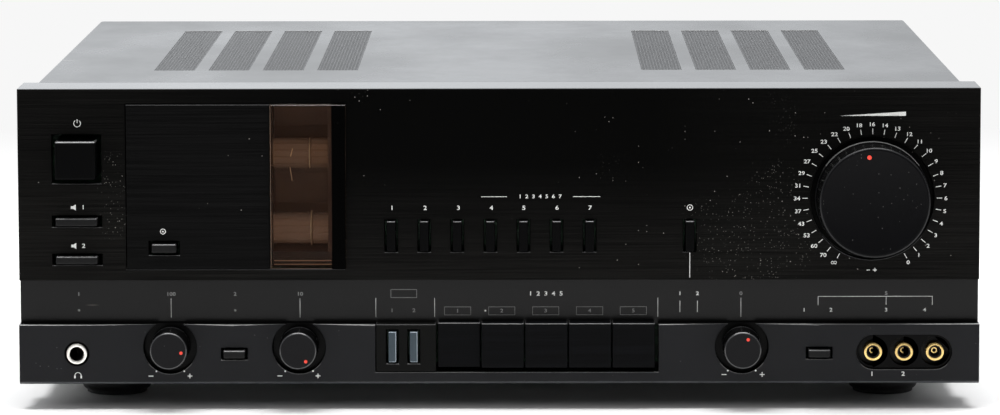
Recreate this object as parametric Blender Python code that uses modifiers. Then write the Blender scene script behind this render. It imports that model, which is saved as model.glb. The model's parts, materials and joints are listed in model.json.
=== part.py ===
"""Integrated amplifier with two small tubes behind a smoked window.

Metres, +Z up. The front faces -Y and +X is on the right of someone who looks
at it. The origin is under the middle of the whole object, on the ground.
"""

import math

import bmesh
import bpy
from mathutils import Matrix, Vector

# Whole body, without what stands out of the front and the rear
BODY_WIDTH = 0.438
BODY_DEPTH = 0.375

# Fits and modelling
GAP = 0.0003
OVERRUN = 0.004
MERGE_DISTANCE = 0.00001
EDGE_BEVEL = 0.0004
STEPS_SMALL = 16
STEPS_MEDIUM = 28
STEPS_LARGE = 48

# Feet
FOOT_HEIGHT = 0.0125
FOOT_RADIUS = 0.0165
FOOT_TREAD_RADIUS = 0.0150
FOOT_TREAD_HEIGHT = 0.0035
FOOT_INSET = 0.0400
FOOT_SETBACK = 0.0520

# Sheet metal of the pan, the rear panel, the front frame and the cover
SHEET = 0.0015
COVER_SHEET = 0.0012
COVER_SIDE_INSET = 0.0060
COVER_REAR_OVERHANG = 0.0015
PAN_WALL_HEIGHT = 0.0180
FRAME_SIDE_INSET = 0.0015

# Vents in the cover: groups left and right of the middle
VENT_WIDTH = 0.0190
VENT_PITCH = 0.0257
VENT_LENGTH = 0.2220
VENT_GROUP_SHARE = 0.2628
VENT_FRONT_SHARE = 0.2427
VENTS_PER_GROUP = 4
VENT_SLOTS = 9
VENT_BAR = 0.0060

# Fascia: a plate with a flange along its top
FASCIA_HEIGHT = 0.0878
FASCIA_THICKNESS = 0.0046
LIP_DEPTH = 0.0315
LIP_THICKNESS = 0.0025

# Inset panel and tube window in one opening of the fascia
OPENING_WIDTH = 0.0996
OPENING_COLUMN_SHARE = -0.2742
OPENING_RISE = 0.0051
OPENING_DROP = 0.0069
WINDOW_WIDTH = 0.0337
WINDOW_PROUD = 0.0025
WINDOW_THICKNESS = 0.0050
INSET_PROUD = 0.0008

# Indicator strip between the fascia and the lower panel
STRIP_SHOWN = 0.0197
STRIP_THICKNESS = 0.0025
STRIP_SETBACK = 0.0004
STRIP_SIDE_INSET = 0.0011
STRIP_OVERLAP = 0.0025

# Lower panel
LOWER_HEIGHT = 0.0268
LOWER_PROUD = 0.0040

# Push buttons: cap width and height, and recess width and height
POWER_CAP = (0.0185, 0.0175)
POWER_RECESS = (0.0225, 0.0225)
POWER_REACH = 0.0080
POWER_TRAVEL = 0.0040
POWER_PLACE_SHARES = (-0.4388, 0.6355)
SPEAKER_CAP = (0.0190, 0.0037)
SPEAKER_RECESS = (0.0228, 0.0053)
SPEAKER_REACH = 0.0040
SPEAKER_COLUMN_SHARE = -0.4390
SPEAKER_ROW_SHARES = (0.3098, 0.1105)
HEATER_CAP = (0.0113, 0.0041)
HEATER_RECESS = (0.0141, 0.0066)
HEATER_REACH = 0.0036
HEATER_INSET = 0.0173
HEATER_RISE = 0.0099
RECORD_CAP = (0.0040, 0.0139)
RECORD_RECESS = (0.0060, 0.0150)
RECORD_REACH = 0.0030
RECORD_COUNT = 7
RECORD_PITCH = 0.01507
RECORD_INSET = 0.0212
RECORD_ROW_SHARE = 0.2323
CARTRIDGE_COLUMN_SHARE = 0.1985
SMALL_CAP = (0.0100, 0.0037)
SMALL_RECESS = (0.0120, 0.0055)
SMALL_REACH = 0.0030
TONE_PLACE_SHARES = (-0.2758, 0.4925)
SOURCE_PLACE_SHARES = (0.3333, 0.4963)
CAP_DEPTH_BEHIND = 0.0030
BUTTON_TRAVEL = 0.0030

# Selector bay in the lower panel, open at its top
BAY_WIDTH = 0.1291
BAY_RISE = 0.0047
BAY_PLACE_SHARE = 0.0186
AV_BLOCK_WIDTH = 0.0276
AV_BLOCK_PROUD = 0.0002
AV_CAP = (0.0035, 0.0139)
AV_RECESS = (0.0055, 0.0156)
AV_REACH = 0.0018
AV_COLUMN_SHARES = (0.2717, 0.6286)
AV_ROW_SHARE = 0.5270
INPUT_COUNT = 5
INPUT_GAP = 0.0006
INPUT_SIDE_GAP = 0.0014
INPUT_DROP = 0.0022
INPUT_RISE = 0.0005
INPUT_REACH = 0.0020
INPUT_DEPTH = 0.0075
LATCH_DEPTH = 0.0025

# Stems of the buttons: across and up
STEM_THIN = 0.0024
STEM_WIDE = 0.0050
POWER_STEM = 0.0080

# Volume knob and its well
VOLUME_COLUMN_SHARE = 0.3881
VOLUME_RISE = 0.0374
VOLUME_FACE_RADIUS = 0.0250
VOLUME_BASE_RADIUS = 0.0260
VOLUME_REACH = 0.0190
VOLUME_TAIL = 0.0020
VOLUME_ROUNDING = 0.0008
WELL_RADIUS = 0.0283
WELL_DEPTH = 0.0070
WELL_WALL = 0.0020
POT_RADIUS = 0.0120
POT_DEPTH = 0.0160
BUSHING_RADIUS = 0.0045
BUSHING_REACH = 0.0030

# Small knobs, their pockets and pots
KNOB_RADIUS = 0.0089
KNOB_REACH = 0.0120
KNOB_ROUNDING = 0.0006
KNOB_SEAT_GAP = 0.0010
POCKET_RADIUS = 0.0122
POCKET_DEPTH = 0.0060
POCKET_ROW_SHARE = 0.6045
TONE_KNOB_SHARES = (-0.3427, -0.2084)
BALANCE_SHARE = 0.2527
SMALL_POT = 0.0180
SMALL_POT_DEPTH = 0.0130

# Shafts of all four knobs
SHAFT_RADIUS = 0.0030
SHAFT_SEAT = 0.0100
KNOB_BORE_LEFT = 0.0040

# Sockets on the lower panel
PHONES_PLACE_SHARES = (-0.4400, 0.4963)
PHONES_BORE_RADIUS = 0.003175
PHONES_BUSH_RADIUS = 0.00475
PHONES_BUSH_REACH = 0.0010
PHONES_BODY = 0.0140
PHONES_BODY_DEPTH = 0.0220
PHONES_END_WALL = 0.0020
JACK_COUNT = 3
JACK_PITCH = 0.0141
JACK_RADIUS = 0.0042
JACK_BORE_RADIUS = 0.0027
JACK_BORE_DEPTH = 0.0080
JACK_SINK = 0.0005
JACK_WELL_RADIUS = 0.00645
JACK_PLACE_SHARES = (0.4218, 0.5112)
JACK_RECESS_WIDTH = 0.0437
JACK_RECESS_HEIGHT = 0.0159
JACK_RECESS_DEPTH = 0.0025
JACK_BODY_DEPTH = 0.0110
JACK_BODY_HEIGHT = 0.0130

# Circuit boards behind the front, with their switches
BOARD_THICKNESS = 0.0016
STANDOFF_LENGTH = 0.0058
STANDOFF_RADIUS = 0.0030
HOUSING_DEPTH = 0.0100
HOUSING_WALL = 0.0035
UPPER_BOARD_STRIP = 0.0074
UPPER_BOARD_LIFT = 0.0028
UPPER_BOARD_LEFT_SHARES = (-0.4700, -0.3105)
UPPER_BOARD_LEFT_TOP_SHARE = 0.8100
UPPER_BOARD_RIGHT_SHARES = (-0.1420, 0.2250)
UPPER_BOARD_RIGHT_TOP_SHARE = 0.3700
UPPER_STANDOFF_SHARES = ((-0.4600, 0.7700), (-0.3700, 0.0800), (-0.2000, 0.0740), (0.1500, 0.0800))
LOWER_BOARD_SIDE_SHARES = (-0.3700, 0.3620)
LOWER_BOARD_HEIGHT = 0.0215
LOWER_BOARD_LIFT = 0.0055
LOWER_STANDOFF_SHARES = (-0.3100, -0.1700, 0.1950, 0.2950)
LOWER_STANDOFF_ROW_SHARE = 0.4000

# Tube stage behind the window
TUBE_RADIUS = 0.0110
TUBE_LENGTH = 0.0450
TUBE_BASE_RADIUS = 0.0095
TUBE_BASE_LENGTH = 0.0080
TUBE_NIPPLE_RADIUS = 0.0020
TUBE_NIPPLE_LENGTH = 0.0035
TUBE_DOME_STEPS = 4
TUBE_SEAT_GAP = 0.0007
TUBE_ROW_SHARES = (0.2620, 0.6663)
TUBE_TIP_SHARE = -0.1660
BRACKET_SHEET = 0.0012
BRACKET_DROP = 0.0096
BRACKET_LOW_SHARE = 0.1390
BRACKET_RIGHT_SHARE = -0.1530
SOCKET_RADIUS = 0.0100
SOCKET_LENGTH = 0.0050

# Power supply and power stage inside the cover
CORE_SIZE = (0.0960, 0.0500, 0.0800)
COIL_SIZE = (0.0640, 0.0820, 0.0540)
CORE_DEPTH_SHARE = 0.2500
MAIN_BOARD_SIDE_INSET = 0.0190
MAIN_BOARD_DEPTH_SHARES = (0.4200, 0.9300)
MAIN_BOARD_LIFT = 0.0120
MAIN_STANDOFF_SHARES = ((-0.4300, 0.4500), (0.4300, 0.4500), (-0.4300, 0.9000), (0.4300, 0.9000))
CAN_RADIUS = 0.0175
CAN_HEIGHT = 0.0600
CAN_ROUNDING = 0.0015
CAN_COLUMN_SHARE = 0.0548
CAN_DEPTH_SHARE = 0.5300
SINK_INNER_SHARE = 0.1600
SINK_BASE = 0.0050
SINK_FIN = 0.0020
SINK_FIN_LENGTH = 0.0700
SINK_FINS = 15
SINK_LENGTH = 0.1900
SINK_HEIGHT = 0.0950
SINK_FRONT_SHARE = 0.3600

# Rear connections
REAR_FLANGE = 0.0030
REAR_FLANGE_MARGIN = 0.0040
REAR_BLOCK_PROUD = 0.0010
REAR_ROW_SHARE = 0.6200
LINE_BLOCK = (0.1400, 0.0360)
LINE_COLUMN_SHARE = 0.2500
LINE_JACKS = (8, 2)
LINE_PITCH = (0.0165, 0.0180)
LINE_JACK_LENGTH = 0.0100
SPEAKER_BLOCK = (0.1080, 0.0440)
SPEAKER_BLOCK_SHARE = -0.1800
SPEAKER_POSTS = (4, 2)
SPEAKER_POST_PITCH = (0.0240, 0.0200)
SPEAKER_POST_RADIUS = 0.0060
TERMINAL_REACH = 0.0170
INLET_BODY = (0.0270, 0.0200)
INLET_RECESS = (0.0245, 0.0170)
INLET_FLANGE = (0.0310, 0.0240)
INLET_FLANGE_THICKNESS = 0.0020
INLET_DEPTH = 0.0190
INLET_RECESS_DEPTH = 0.0160
INLET_PLACE_SHARES = (-0.4000, 0.2000)

# Heights and depths that follow from the sizes above
HALF_WIDTH = BODY_WIDTH / 2
BODY_HEIGHT = LOWER_HEIGHT + STRIP_SHOWN + FASCIA_HEIGHT
BODY_TOP = FOOT_HEIGHT + BODY_HEIGHT
FACE_Y = (VOLUME_REACH - BODY_DEPTH - TERMINAL_REACH) / 2
FASCIA_LOW = BODY_TOP - FASCIA_HEIGHT
LOWER_TOP = FOOT_HEIGHT + LOWER_HEIGHT
BAY_HEIGHT = LOWER_HEIGHT - BAY_RISE
INPUT_HEIGHT = BAY_HEIGHT + INPUT_RISE - INPUT_DROP
FRAME_FRONT = FASCIA_THICKNESS + GAP
FRAME_REAR = LIP_DEPTH - GAP
WEB_FRONT = FRAME_REAR - SHEET
BOARD_BACK = WEB_FRONT - GAP - STANDOFF_LENGTH
BOARD_FRONT = BOARD_BACK - BOARD_THICKNESS
HOUSING_FRONT = BOARD_FRONT - HOUSING_DEPTH
STEM_END = BOARD_BACK + STANDOFF_LENGTH - POWER_TRAVEL - GAP
PAN_LOW = FOOT_HEIGHT + GAP
PAN_FLOOR = PAN_LOW + SHEET
REAR_PANEL_BACK = BODY_DEPTH - COVER_REAR_OVERHANG
REAR_PANEL_FRONT = REAR_PANEL_BACK - SHEET
COVER_HALF_WIDTH = HALF_WIDTH - COVER_SIDE_INSET
INSIDE_HALF_WIDTH = COVER_HALF_WIDTH - COVER_SHEET - GAP
MAIN_BOARD_TOP = PAN_FLOOR + MAIN_BOARD_LIFT + BOARD_THICKNESS

# Colour, roughness and metallic value of each finish
FINISHES = {
    "black_aluminium": ((0.012, 0.012, 0.013), 0.42, 0.6),
    "satin_black_paint": ((0.030, 0.031, 0.032), 0.45, 0.1),
    "dark_steel": ((0.060, 0.062, 0.065), 0.5, 0.7),
    "zinc_steel": ((0.55, 0.55, 0.53), 0.4, 0.9),
    "black_plastic": ((0.013, 0.013, 0.014), 0.4, 0.0),
    "smoked_glass": ((0.10, 0.06, 0.04), 0.1, 0.0),
    "smoked_strip": ((0.022, 0.023, 0.025), 0.12, 0.0),
    "clear_glass": ((0.62, 0.60, 0.56), 0.05, 0.0),
    "copper": ((0.55, 0.27, 0.15), 0.35, 1.0),
    "frosted_plastic": ((0.30, 0.37, 0.44), 0.3, 0.0),
    "circuit_board": ((0.05, 0.16, 0.07), 0.6, 0.0),
    "grey_metal": ((0.35, 0.35, 0.36), 0.45, 0.9),
    "gold": ((0.83, 0.62, 0.25), 0.25, 1.0),
    "silver": ((0.78, 0.78, 0.78), 0.25, 1.0),
    "rubber": ((0.015, 0.015, 0.015), 0.8, 0.0),
    "core_iron": ((0.10, 0.09, 0.085), 0.6, 0.6),
    "can_sleeve": ((0.02, 0.03, 0.06), 0.4, 0.0),
}


def empty_scene():
    """Remove what the scene holds before the model is made."""
    for thing in list(bpy.data.objects):
        bpy.data.objects.remove(thing, do_unlink=True)


def add_collection(name):
    """Link a new collection to the scene."""
    collection = bpy.data.collections.new(name)
    bpy.context.scene.collection.children.link(collection)
    return collection


empty_scene()
PARTS = add_collection("integrated_amplifier")
CUTTERS = add_collection("cutters")


def across(share):
    """Give x for a share of the width, from -0.5 on the left to 0.5."""
    return share * BODY_WIDTH


def behind(share):
    """Give the depth behind the face for a share of the body's depth."""
    return share * BODY_DEPTH


def up_fascia(share):
    """Give z for a share of the fascia's height."""
    return FASCIA_LOW + share * FASCIA_HEIGHT


def up_lower(share):
    """Give z for a share of the lower panel's height."""
    return FOOT_HEIGHT + share * LOWER_HEIGHT


def around(centre, size):
    """Give the span of a size about its centre."""
    return (centre - size / 2, centre + size / 2)


def grown(span, amount):
    """Move both ends of a span outwards."""
    return (span[0] - amount, span[1] + amount)


def row(centre, pitch, count):
    """Give the places of a row of equal steps about its centre."""
    return [centre + (index - (count - 1) / 2) * pitch for index in range(count)]


def add_object(name, data, place):
    """Link an object with this data to the parts."""
    thing = bpy.data.objects.new(name, data)
    thing.location = place
    PARTS.objects.link(thing)
    return thing


def block(name, x, depth, z, place=None):
    """Make a box from its spans across, behind the face and up."""
    low = Vector((x[0], FACE_Y + depth[0], z[0]))
    high = Vector((x[1], FACE_Y + depth[1], z[1]))
    middle = (low + high) / 2
    origin = middle if place is None else Vector(place)
    shape = bmesh.new()
    bmesh.ops.create_cube(shape, size=1)
    fit = Matrix.LocRotScale(middle - origin, None, high - low)
    bmesh.ops.transform(shape, matrix=fit, verts=shape.verts)
    mesh = bpy.data.meshes.new(name)
    shape.to_mesh(mesh)
    shape.free()
    return add_object(name, mesh, origin)


def rounded_block(name, x, depth, z, radius):
    """Make a box whose four edges along the depth are rounded."""
    thing = block(name, x, depth, z)
    shape = bmesh.new()
    shape.from_mesh(thing.data)
    along = [edge for edge in shape.edges
             if abs(edge.verts[0].co.y - edge.verts[1].co.y) > MERGE_DISTANCE]
    bmesh.ops.bevel(shape, geom=along, offset=radius, segments=STEPS_SMALL // 2,
                    profile=0.5, affect='EDGES')
    shape.to_mesh(thing.data)
    shape.free()
    return thing


def rod(name, x, depth, z, radius, steps):
    """Make a cylinder along the depth."""
    length = depth[1] - depth[0]
    shape = bmesh.new()
    bmesh.ops.create_cone(shape, cap_ends=True, segments=steps, radius1=radius,
                          radius2=radius, depth=length)
    bmesh.ops.rotate(shape, matrix=Matrix.Rotation(math.pi / 2, 3, 'X'), verts=shape.verts)
    bmesh.ops.translate(shape, vec=(0, (depth[0] + depth[1]) / 2, 0), verts=shape.verts)
    mesh = bpy.data.meshes.new(name)
    shape.to_mesh(mesh)
    shape.free()
    smooth(mesh)
    return add_object(name, mesh, (x, FACE_Y, z))


def smooth(mesh):
    """Shade a mesh smooth, with its sharp edges kept."""
    mesh.shade_smooth()
    mesh.set_sharp_from_angle(angle=math.radians(35))


def turned(name, profile, place, turn, steps):
    """Spin a profile of (radius, height) points, listed top to bottom."""
    points = [(radius, 0, height) for radius, height in profile]
    edges = [(index, index + 1) for index in range(len(points) - 1)]
    mesh = bpy.data.meshes.new(name)
    mesh.from_pydata(points, edges, [])
    thing = add_object(name, mesh, place)
    thing.rotation_euler = turn
    screw = thing.modifiers.new("Turn", 'SCREW')
    screw.steps = steps
    screw.render_steps = steps
    screw.use_merge_vertices = True
    screw.merge_threshold = MERGE_DISTANCE
    return thing


def outline_solid(name, points, place, thickness):
    """Extrude a closed outline of (x, y) points along Z, about its place."""
    curve = bpy.data.curves.new(name, 'CURVE')
    curve.dimensions = '2D'
    curve.fill_mode = 'BOTH'
    curve.extrude = thickness / 2
    spline = curve.splines.new('POLY')
    spline.points.add(len(points) - 1)
    for point, (x, y) in zip(spline.points, points):
        point.co = (x, y, 0, 1)
    spline.use_cyclic_u = True
    return add_object(name, curve, place)


def combine(target, tool, operation):
    """Add a Boolean to the target and put the tool with the cutters."""
    modifier = target.modifiers.new(operation.title(), 'BOOLEAN')
    modifier.operation = operation
    modifier.solver = 'EXACT'
    modifier.object = tool
    tool.hide_render = True
    tool.display_type = 'WIRE'
    PARTS.objects.unlink(tool)
    CUTTERS.objects.link(tool)


def cut(target, tool):
    """Take the tool's shape out of the target."""
    combine(target, tool, 'DIFFERENCE')


def fuse(target, tool):
    """Add the tool's shape to the target."""
    combine(target, tool, 'UNION')


def bevel(thing, width):
    """Round the sharp edges of a thing a little."""
    modifier = thing.modifiers.new("Edges", 'BEVEL')
    modifier.width = width
    modifier.segments = 1
    modifier.limit_method = 'ANGLE'


def dress(thing, finish):
    """Give a thing a material of its own with one of the finishes."""
    colour, roughness, metallic = FINISHES[finish]
    material = bpy.data.materials.new(thing.name + "_" + finish)
    material.use_nodes = True
    surface = material.node_tree.nodes["Principled BSDF"]
    surface.inputs["Base Color"].default_value = (*colour, 1)
    surface.inputs["Roughness"].default_value = roughness
    surface.inputs["Metallic"].default_value = metallic
    thing.data.materials.append(material)


def ride_on(empty_name, place, things):
    """Parent the pieces that turn together to an empty on their axis."""
    axis = bpy.data.objects.new(empty_name, None)
    axis.location = place
    PARTS.objects.link(axis)
    bpy.context.view_layer.update()
    for thing in things:
        thing.parent = axis
        thing.matrix_parent_inverse = axis.matrix_world.inverted()


def make_foot(name, x, depth):
    """Turn one foot: a black disc on a narrower rubber tread."""
    profile = [(0, FOOT_HEIGHT), (FOOT_RADIUS, FOOT_HEIGHT), (FOOT_RADIUS, FOOT_TREAD_HEIGHT),
               (FOOT_TREAD_RADIUS, 0), (0, 0)]
    foot = turned(name, profile, (x, FACE_Y + depth, 0), (0, 0, 0), STEPS_MEDIUM)
    dress(foot, "rubber")


def make_feet():
    """Stand the body on four feet near its corners."""
    side = HALF_WIDTH - FOOT_INSET
    rear = BODY_DEPTH - FOOT_SETBACK
    make_foot("foot_front_left", -side, FOOT_SETBACK)
    make_foot("foot_front_right", side, FOOT_SETBACK)
    make_foot("foot_rear_left", -side, rear)
    make_foot("foot_rear_right", side, rear)


def make_chassis_pan():
    """Fold the pan: a floor with a low wall along each side."""
    depth = (LIP_DEPTH, REAR_PANEL_FRONT - GAP)
    x = (-INSIDE_HALF_WIDTH, INSIDE_HALF_WIDTH)
    pan = block("chassis_pan", x, depth, (PAN_LOW, PAN_LOW + PAN_WALL_HEIGHT))
    inside_top = PAN_LOW + PAN_WALL_HEIGHT + OVERRUN
    cut(pan, block("pan_inside", grown(x, -SHEET), grown(depth, OVERRUN), (PAN_FLOOR, inside_top)))
    dress(pan, "zinc_steel")


def make_rear_panel():
    """Close the rear with a plate that is cut out for the connections."""
    x = (-INSIDE_HALF_WIDTH, INSIDE_HALF_WIDTH)
    depth = (REAR_PANEL_FRONT, REAR_PANEL_BACK)
    panel = block("rear_panel", x, depth, (PAN_LOW, BODY_TOP - COVER_SHEET - GAP))
    through = grown(depth, OVERRUN)
    for name, centre, size in (("line", line_block_centre(), LINE_BLOCK),
                               ("speaker", speaker_block_centre(), SPEAKER_BLOCK),
                               ("inlet", inlet_centre(), INLET_BODY)):
        window_x = grown(around(centre[0], size[0]), GAP)
        window_z = grown(around(centre[1], size[1]), GAP)
        cut(panel, block("rear_window_" + name, window_x, through, window_z))
    dress(panel, "satin_black_paint")


def make_front_frame():
    """Fold the frame that carries the front: a tray that is open forwards."""
    side = HALF_WIDTH - FRAME_SIDE_INSET
    z = (PAN_FLOOR - GAP, BODY_TOP - LIP_THICKNESS - GAP)
    frame = block("front_frame", (-side, side), (FRAME_FRONT, FRAME_REAR), z)
    inside = grown((-side, side), -SHEET)
    cut(frame, block("frame_inside", inside, (FRAME_FRONT - OVERRUN, WEB_FRONT), grown(z, -SHEET)))
    strip_rear = FASCIA_THICKNESS + STRIP_SETBACK + STRIP_THICKNESS
    notch = block("strip_notch", (-HALF_WIDTH, HALF_WIDTH), (0, strip_rear + GAP),
                  grown(strip_rows(), GAP))
    cut(frame, notch)
    dress(frame, "dark_steel")


def strip_rows():
    """Give the z span of the indicator strip, which laps both panels."""
    return (LOWER_TOP - STRIP_OVERLAP / 2, FASCIA_LOW + STRIP_OVERLAP)


def make_top_cover():
    """Fold the cover: a top with two long sides, slotted above the heat sinks."""
    x = (-COVER_HALF_WIDTH, COVER_HALF_WIDTH)
    depth = (LIP_DEPTH + GAP, BODY_DEPTH)
    cover = block("top_cover", x, depth, (PAN_LOW, BODY_TOP))
    inside_z = (PAN_LOW - OVERRUN, BODY_TOP - COVER_SHEET)
    cut(cover, block("cover_inside", grown(x, -COVER_SHEET), grown(depth, OVERRUN), inside_z))
    slot_z = (BODY_TOP - COVER_SHEET - OVERRUN, BODY_TOP + OVERRUN)
    pitch = (VENT_LENGTH + VENT_BAR) / VENT_SLOTS
    first = behind(VENT_FRONT_SHARE)
    for side in (-1, 1):
        for column in row(side * across(VENT_GROUP_SHARE), VENT_PITCH, VENTS_PER_GROUP):
            for index in range(VENT_SLOTS):
                start = first + index * pitch
                slot = block("vent_slot", around(column, VENT_WIDTH),
                             (start, start + pitch - VENT_BAR), slot_z)
                cut(cover, slot)
    dress(cover, "satin_black_paint")


def opening_spans():
    """Give the x and z spans of the opening for the inset and the window."""
    x = around(across(OPENING_COLUMN_SHARE), OPENING_WIDTH)
    return x, (FASCIA_LOW + OPENING_RISE, BODY_TOP - OPENING_DROP)


def record_places():
    """Give the centres of the recording buttons and the cartridge button."""
    opening_x, _ = opening_spans()
    z = up_fascia(RECORD_ROW_SHARE)
    first = opening_x[1] + RECORD_INSET
    places = [(first + index * RECORD_PITCH, z) for index in range(RECORD_COUNT)]
    return places + [(across(CARTRIDGE_COLUMN_SHARE), z)]


def power_place():
    """Give the centre of the power button."""
    return (across(POWER_PLACE_SHARES[0]), up_fascia(POWER_PLACE_SHARES[1]))


def speaker_places():
    """Give the centres of the two speaker buttons."""
    return [(across(SPEAKER_COLUMN_SHARE), up_fascia(share)) for share in SPEAKER_ROW_SHARES]


def heater_place():
    """Give the centre of the tube heater button."""
    opening_x, opening_z = opening_spans()
    return (opening_x[0] + HEATER_INSET, opening_z[0] + HEATER_RISE)


def volume_place():
    """Give the x and z of the volume knob's axis."""
    return (across(VOLUME_COLUMN_SHARE), FASCIA_LOW + VOLUME_RISE)


def cut_recess(target, name, place, size, depth):
    """Cut the rectangular hole of one button through its panel."""
    x = around(place[0], size[0])
    z = around(place[1], size[1])
    cut(target, block(name, x, grown(depth, OVERRUN), z))


def make_fascia():
    """Make the fascia: a plate with a top flange, holes and the volume well."""
    x = (-HALF_WIDTH, HALF_WIDTH)
    plate_depth = (0, FASCIA_THICKNESS)
    fascia = block("fascia", x, (0, LIP_DEPTH), (FASCIA_LOW, BODY_TOP))
    under_lip = block("under_lip", grown(x, OVERRUN), (FASCIA_THICKNESS, LIP_DEPTH + OVERRUN),
                      (FASCIA_LOW - OVERRUN, BODY_TOP - LIP_THICKNESS))
    cut(fascia, under_lip)
    well_x, well_z = volume_place()
    floor_back = WELL_DEPTH + WELL_WALL
    fuse(fascia, rod("well_cup", well_x, (FASCIA_THICKNESS / 2, floor_back), well_z,
                     WELL_RADIUS + WELL_WALL, STEPS_LARGE))
    cut(fascia, rod("well", well_x, (-OVERRUN, WELL_DEPTH), well_z, WELL_RADIUS, STEPS_LARGE))
    cut(fascia, rod("well_hole", well_x, (0, floor_back + OVERRUN), well_z,
                    BUSHING_RADIUS + GAP, STEPS_SMALL))
    opening_x, opening_z = opening_spans()
    cut(fascia, block("opening", opening_x, grown(plate_depth, OVERRUN), opening_z))
    cut_recess(fascia, "power_recess", power_place(), POWER_RECESS, plate_depth)
    for place in speaker_places():
        cut_recess(fascia, "speaker_recess", place, SPEAKER_RECESS, plate_depth)
    for place in record_places():
        cut_recess(fascia, "record_recess", place, RECORD_RECESS, plate_depth)
    dress(fascia, "black_aluminium")


def make_inset_panel():
    """Make the inset panel left of the tube window, with its button's hole."""
    opening_x, opening_z = opening_spans()
    x = (opening_x[0] + GAP, opening_x[1] - WINDOW_WIDTH - GAP)
    depth = (-INSET_PROUD, FASCIA_THICKNESS)
    panel = block("inset_panel", x, depth, grown(opening_z, -GAP))
    cut_recess(panel, "heater_recess", heater_place(), HEATER_RECESS, depth)
    dress(panel, "black_aluminium")


def make_tube_window():
    """Make the smoked window in front of the tubes."""
    opening_x, opening_z = opening_spans()
    x = (opening_x[1] - WINDOW_WIDTH, opening_x[1] - GAP)
    depth = (-WINDOW_PROUD, WINDOW_THICKNESS - WINDOW_PROUD)
    window = block("tube_window", x, depth, grown(opening_z, -GAP))
    bevel(window, EDGE_BEVEL)
    dress(window, "smoked_glass")


def make_indicator_strip():
    """Make the smoked strip that shows between the fascia and the lower panel."""
    side = HALF_WIDTH - STRIP_SIDE_INSET
    front = FASCIA_THICKNESS + STRIP_SETBACK
    strip = block("indicator_strip", (-side, side), (front, front + STRIP_THICKNESS), strip_rows())
    dress(strip, "smoked_strip")


def knob_places():
    """Give the axes of the bass, treble and balance knobs."""
    z = up_lower(POCKET_ROW_SHARE)
    return [(across(share), z) for share in (*TONE_KNOB_SHARES, BALANCE_SHARE)]


def tone_place():
    """Give the centre of the tone button."""
    return (across(TONE_PLACE_SHARES[0]), up_lower(TONE_PLACE_SHARES[1]))


def source_place():
    """Give the centre of the rear or front source button."""
    return (across(SOURCE_PLACE_SHARES[0]), up_lower(SOURCE_PLACE_SHARES[1]))


def phones_place():
    """Give the axis of the phones socket."""
    return (across(PHONES_PLACE_SHARES[0]), up_lower(PHONES_PLACE_SHARES[1]))


def jack_places():
    """Give the axes of the three jacks on the front."""
    z = up_lower(JACK_PLACE_SHARES[1])
    return [(x, z) for x in row(across(JACK_PLACE_SHARES[0]), JACK_PITCH, JACK_COUNT)]


def bay_x():
    """Give the x span of the selector bay."""
    return around(across(BAY_PLACE_SHARE), BAY_WIDTH)


def make_lower_panel():
    """Make the lower panel with its pockets, bay, holes and jack recess."""
    depth = (-LOWER_PROUD, FASCIA_THICKNESS)
    panel = block("lower_panel", (-HALF_WIDTH, HALF_WIDTH), depth, (FOOT_HEIGHT, LOWER_TOP))
    through = grown(depth, OVERRUN)
    bay = block("bay", bay_x(), through, (LOWER_TOP - BAY_HEIGHT, LOWER_TOP + OVERRUN))
    cut(panel, bay)
    floor = POCKET_DEPTH - LOWER_PROUD
    for x, z in knob_places():
        cut(panel, rod("pocket", x, (through[0], floor), z, POCKET_RADIUS, STEPS_LARGE))
        cut(panel, rod("shaft_hole", x, through, z, SHAFT_RADIUS + GAP, STEPS_SMALL))
    cut_recess(panel, "tone_recess", tone_place(), SMALL_RECESS, depth)
    cut_recess(panel, "source_recess", source_place(), SMALL_RECESS, depth)
    x, z = phones_place()
    cut(panel, rod("phones_hole", x, through, z, PHONES_BUSH_RADIUS + GAP, STEPS_MEDIUM))
    jacks = jack_places()
    middle_x, z = jacks[JACK_COUNT // 2]
    recess = rounded_block("jack_recess", around(middle_x, JACK_RECESS_WIDTH),
                           (through[0], JACK_RECESS_DEPTH - LOWER_PROUD),
                           around(z, JACK_RECESS_HEIGHT), JACK_RECESS_HEIGHT / 2 - MERGE_DISTANCE)
    cut(panel, recess)
    for x, z in jacks:
        cut(panel, rod("jack_well", x, through, z, JACK_WELL_RADIUS, STEPS_MEDIUM))
    dress(panel, "black_aluminium")


def av_block_x():
    """Give the x span of the block at the left end of the bay."""
    left = bay_x()[0]
    return (left + GAP, left + AV_BLOCK_WIDTH)


def av_rows():
    """Give the z span of the block in the bay."""
    return (LOWER_TOP - BAY_HEIGHT + GAP, LOWER_TOP)


def av_places():
    """Give the centres of the two buttons in the block."""
    left, right = av_block_x()
    low, high = av_rows()
    z = low + AV_ROW_SHARE * (high - low)
    return [(left + share * (right - left), z) for share in AV_COLUMN_SHARES]


def make_av_block():
    """Make the block that holds two upright buttons beside the selectors."""
    depth = (-LOWER_PROUD - AV_BLOCK_PROUD, FASCIA_THICKNESS)
    body = block("av_block", av_block_x(), depth, av_rows())
    for place in av_places():
        cut_recess(body, "av_recess", place, AV_RECESS, depth)
    dress(body, "black_plastic")


def make_button(name, place, cap, depth, stem, finish, sink=0):
    """Make a push button: a cap with a stem into its switch, sunk if latched."""
    origin = (place[0], FACE_Y + sink, place[1])
    body = block(name, around(place[0], cap[0]), (depth[0] + sink, depth[1] + sink),
                 around(place[1], cap[1]), origin)
    bevel(body, EDGE_BEVEL)
    fuse(body, block(name + "_stem", around(place[0], stem[0]),
                     (depth[1] + sink - CAP_DEPTH_BEHIND / 2, STEM_END),
                     around(place[1], stem[1])))
    dress(body, finish)


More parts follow.
